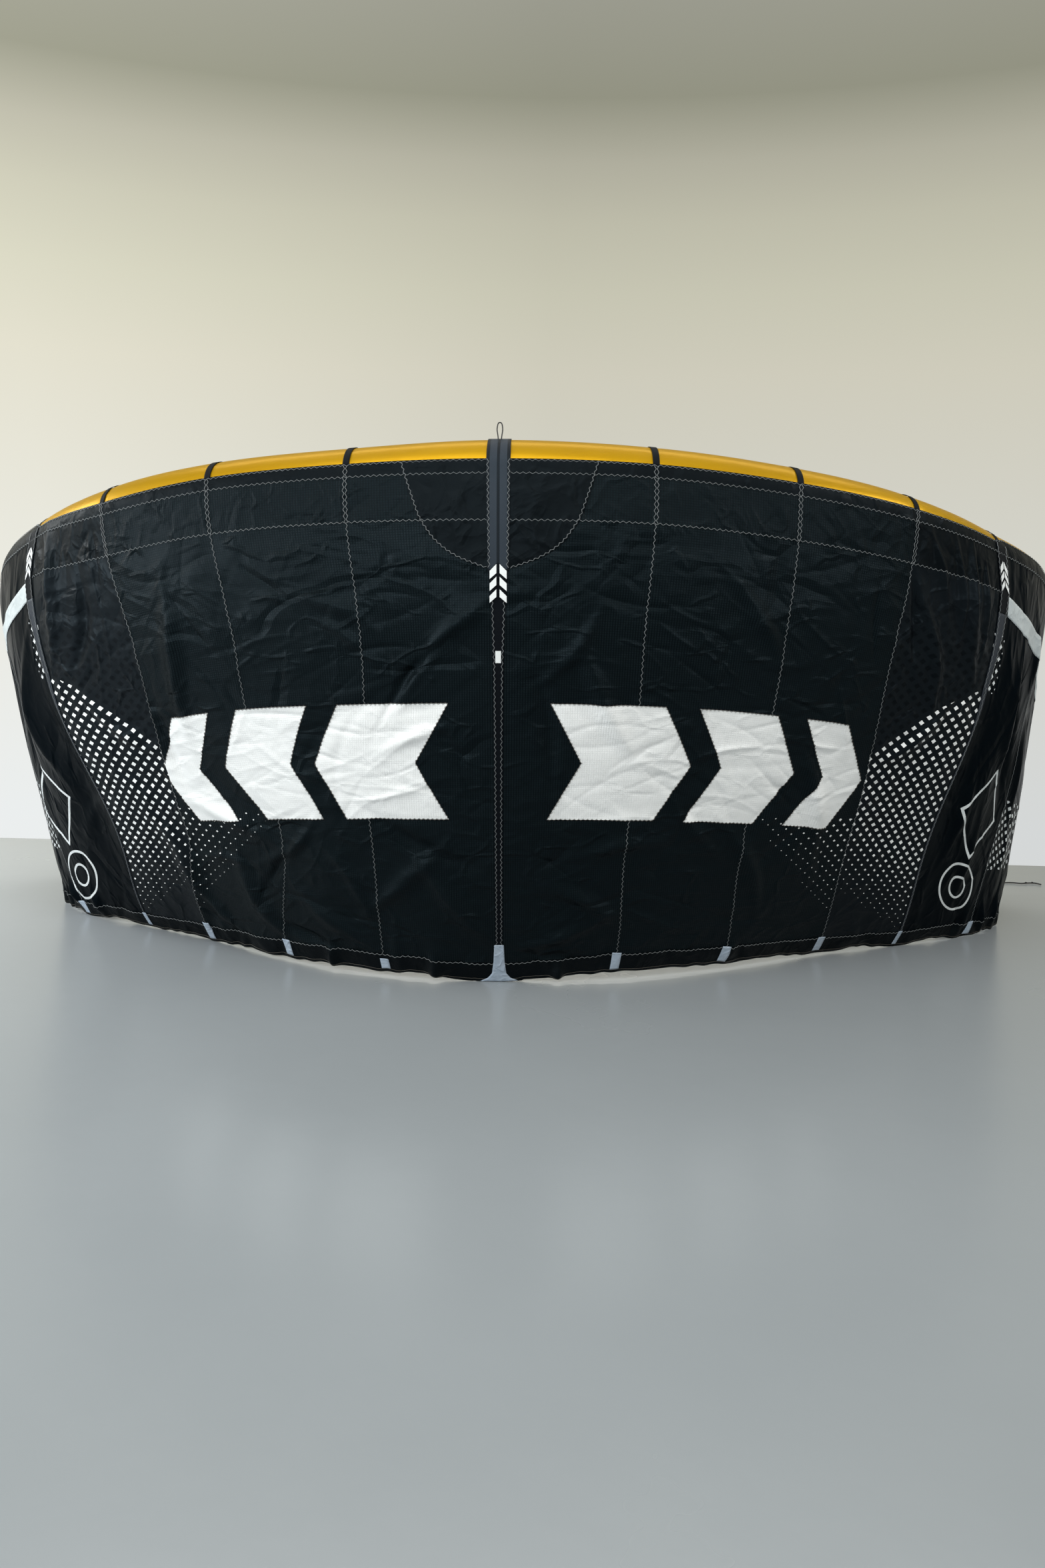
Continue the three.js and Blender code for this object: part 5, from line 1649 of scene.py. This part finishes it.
def knot(name, centre, axis):
    """An overhand knot: the cord wound over itself."""
    t = np.linspace(0, 2 * np.pi, 60)
    side = unit(np.cross(axis, (0, 0, 1)))
    up = np.cross(side, axis)
    shape = np.stack([np.sin(t) + 2 * np.sin(2 * t), np.cos(t) - 2 * np.cos(2 * t), -np.sin(3 * t)], -1) / 3
    line = centre + KNOT_SIZE * shape @ np.array([axis * 0.7, side * 0.8, up * 0.9])
    return cord_curve(name, line, PIGTAIL_DIAMETER * KNOT_THICK, closed=True)


for number, share in enumerate(KNOT_PLACES, 1):
    at = int(share * (len(route) - 1))
    centre = route[at] + np.array([0, 0, KNOT_LIFT])
    knot(f"pigtail_knot_{number}", centre, unit(route[at + 1] - route[at - 1]))
pigtail = cord_curve("pigtail_line", route, PIGTAIL_DIAMETER)
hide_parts("pigtail_cord")

# %% [markdown]
# ## Floor and light
# A pale, slightly shiny floor, paler at the left where window light is painted into its
# colour, a graded surround and soft lamps. The cloth is black and satin, so what is seen
# on it is mostly what it mirrors: a bright surround above makes the upper canopy grey,
# and a dim one in front keeps the rest deep. Lamps alone would leave it flat black with
# hard highlights.


# %% Floor
def floor_finish():
    finish = Finish("pale_floor", Specular_IOR_Level=0.5)
    where = object_place(finish)
    patchy = noise(finish, where, 0.8, 5.0, 0.6)
    aside = finish.node("ShaderNodeSeparateXYZ", None, {0: where})
    # Painted light: the floor's colour is paler towards the left, standing in for the window light that falls
    # there.
    painted_window_light = 1 - finish.soft_step(aside, -3.2, -0.8)
    plain = finish.mix(patchy, (0.235, 0.255, 0.27), (0.27, 0.29, 0.305))
    finish.colour(finish.mix(painted_window_light, plain, (0.45, 0.47, 0.49)))
    finish.rough(0.2 + patchy * 0.12)
    finish.bump(noise(finish, where, 9.0, 3.0), 0.0006)
    return finish.material


FLOOR_SIDE, FLOOR_FRONT, FLOOR_BACK = 14, -12, 1.24  # metres from the frame's zero
corners = [(-FLOOR_SIDE, FLOOR_FRONT, 0), (FLOOR_SIDE, FLOOR_FRONT, 0), (FLOOR_SIDE, FLOOR_BACK, 0),
           (-FLOOR_SIDE, FLOOR_BACK, 0)]
floor_mesh = bpy.data.meshes.new("floor")
floor_mesh.from_pydata(corners, [], [(0, 1, 2, 3)])
floor_mesh.materials.append(floor_finish())
floor = add_object("floor", floor_mesh)
print("floor laid")

# %% Surround
WALL = (  # how high the view goes, and the colour there
    (-0.17, (0.66, 0.68, 0.68)), (0.0, (0.66, 0.66, 0.61)), (0.19, (0.62, 0.6, 0.5)),
    (0.25, (0.57, 0.56, 0.45)), (0.3, (0.51, 0.5, 0.4)), (0.34, (0.43, 0.42, 0.34)),
    (0.38, (0.29, 0.29, 0.225)), (0.46, (0.34, 0.34, 0.29)),
)
WALL_LOW, WALL_HIGH = -0.25, 0.5  # the heights at the ramp's two ends


def surround():
    """Graded colour all round. Behind the kite it is the plain wall, and in front of the kite it
    is dim below and bright above. It is a little brighter at the left."""
    world = bpy.data.worlds.new("surround")
    bpy.context.scene.world = world
    world.use_nodes = True
    web = Web(world.node_tree)

    def between(value, low, high, first, last):
        return web.node("ShaderNodeMapRange", None, {0: value, 1: low, 2: high, 3: first, 4: last})

    way = web.node("ShaderNodeTexCoord", output="Generated")
    x, y, z = (web.node("ShaderNodeSeparateXYZ", None, {0: way}, output) for output in range(3))
    stops = [((height - WALL_LOW) / (WALL_HIGH - WALL_LOW), colour) for height, colour in WALL]
    wall = web.node("ShaderNodeValToRGB", {"stops": stops}, {0: between(z, WALL_LOW, WALL_HIGH, 0.0, 1.0)})
    above = between(z, 0.05, 0.6, 0.12, 1.5)
    lit = web.node("ShaderNodeMix", None, {0: between(y, -0.3, 0.3, 0.0, 1.0), 2: above, 3: 1.0})
    back = world.node_tree.nodes["Background"]
    web.put(back.inputs[0], wall)
    web.put(back.inputs[1], lit * between(x, -0.42, -0.02, 1.26, 1.0))


surround()
print("surround made")


# %% Lamps
def lamp(name, place, target, size, watts, colour=(1, 1, 1)):
    data = bpy.data.lights.new(name, "AREA")
    data.shape = "RECTANGLE"
    data.size, data.size_y = size
    data.energy = watts
    data.color = colour
    made = add_object(name, data)
    made.location = place
    made.rotation_euler = (Vector(target) - Vector(place)).to_track_quat("-Z", "Y").to_euler()


lamp("ceiling_lamp", (-0.4, -2.2, 3.6), (0, -0.2, 0.8), (3.2, 1.2), 60, (0.97, 0.99, 1.0))
lamp("top_lamp", (0, 0.5, 3.4), (0, -0.1, 1.2), (4.5, 0.5), 26)
lamp("left_floor_lamp", (-3.2, -0.1, 2.0), (-2.7, -0.5, 0), (1.2, 1.2), 40, (0.95, 0.98, 1.0))
lamp("back_glow", (0, 1.3, 1.2), (0, 0.1, 0), (2.5, 0.3), 25, (1.0, 0.96, 0.88))
lamp("top_right_lamp", (2.6, -1.0, 3.0), (1.0, -0.1, 1.4), (1.6, 0.35), 26)
lamp("front_fill", (-1.6, -5.2, 3.0), (0, 0, 0.8), (4.0, 1.6), 100, (0.93, 0.97, 1.0))
lamp("window_left", (-4.6, -2.4, 1.9), (-0.3, 0, 0.8), (1.8, 2.2), 130, (0.92, 0.97, 1.0))
lamp("window_right", (4.2, -3.8, 2.4), (0.4, 0, 0.8), (1.6, 1.8), 50, (0.96, 0.98, 1.0))
bpy.context.scene.view_settings.view_transform = "Standard"
print("lamps set")
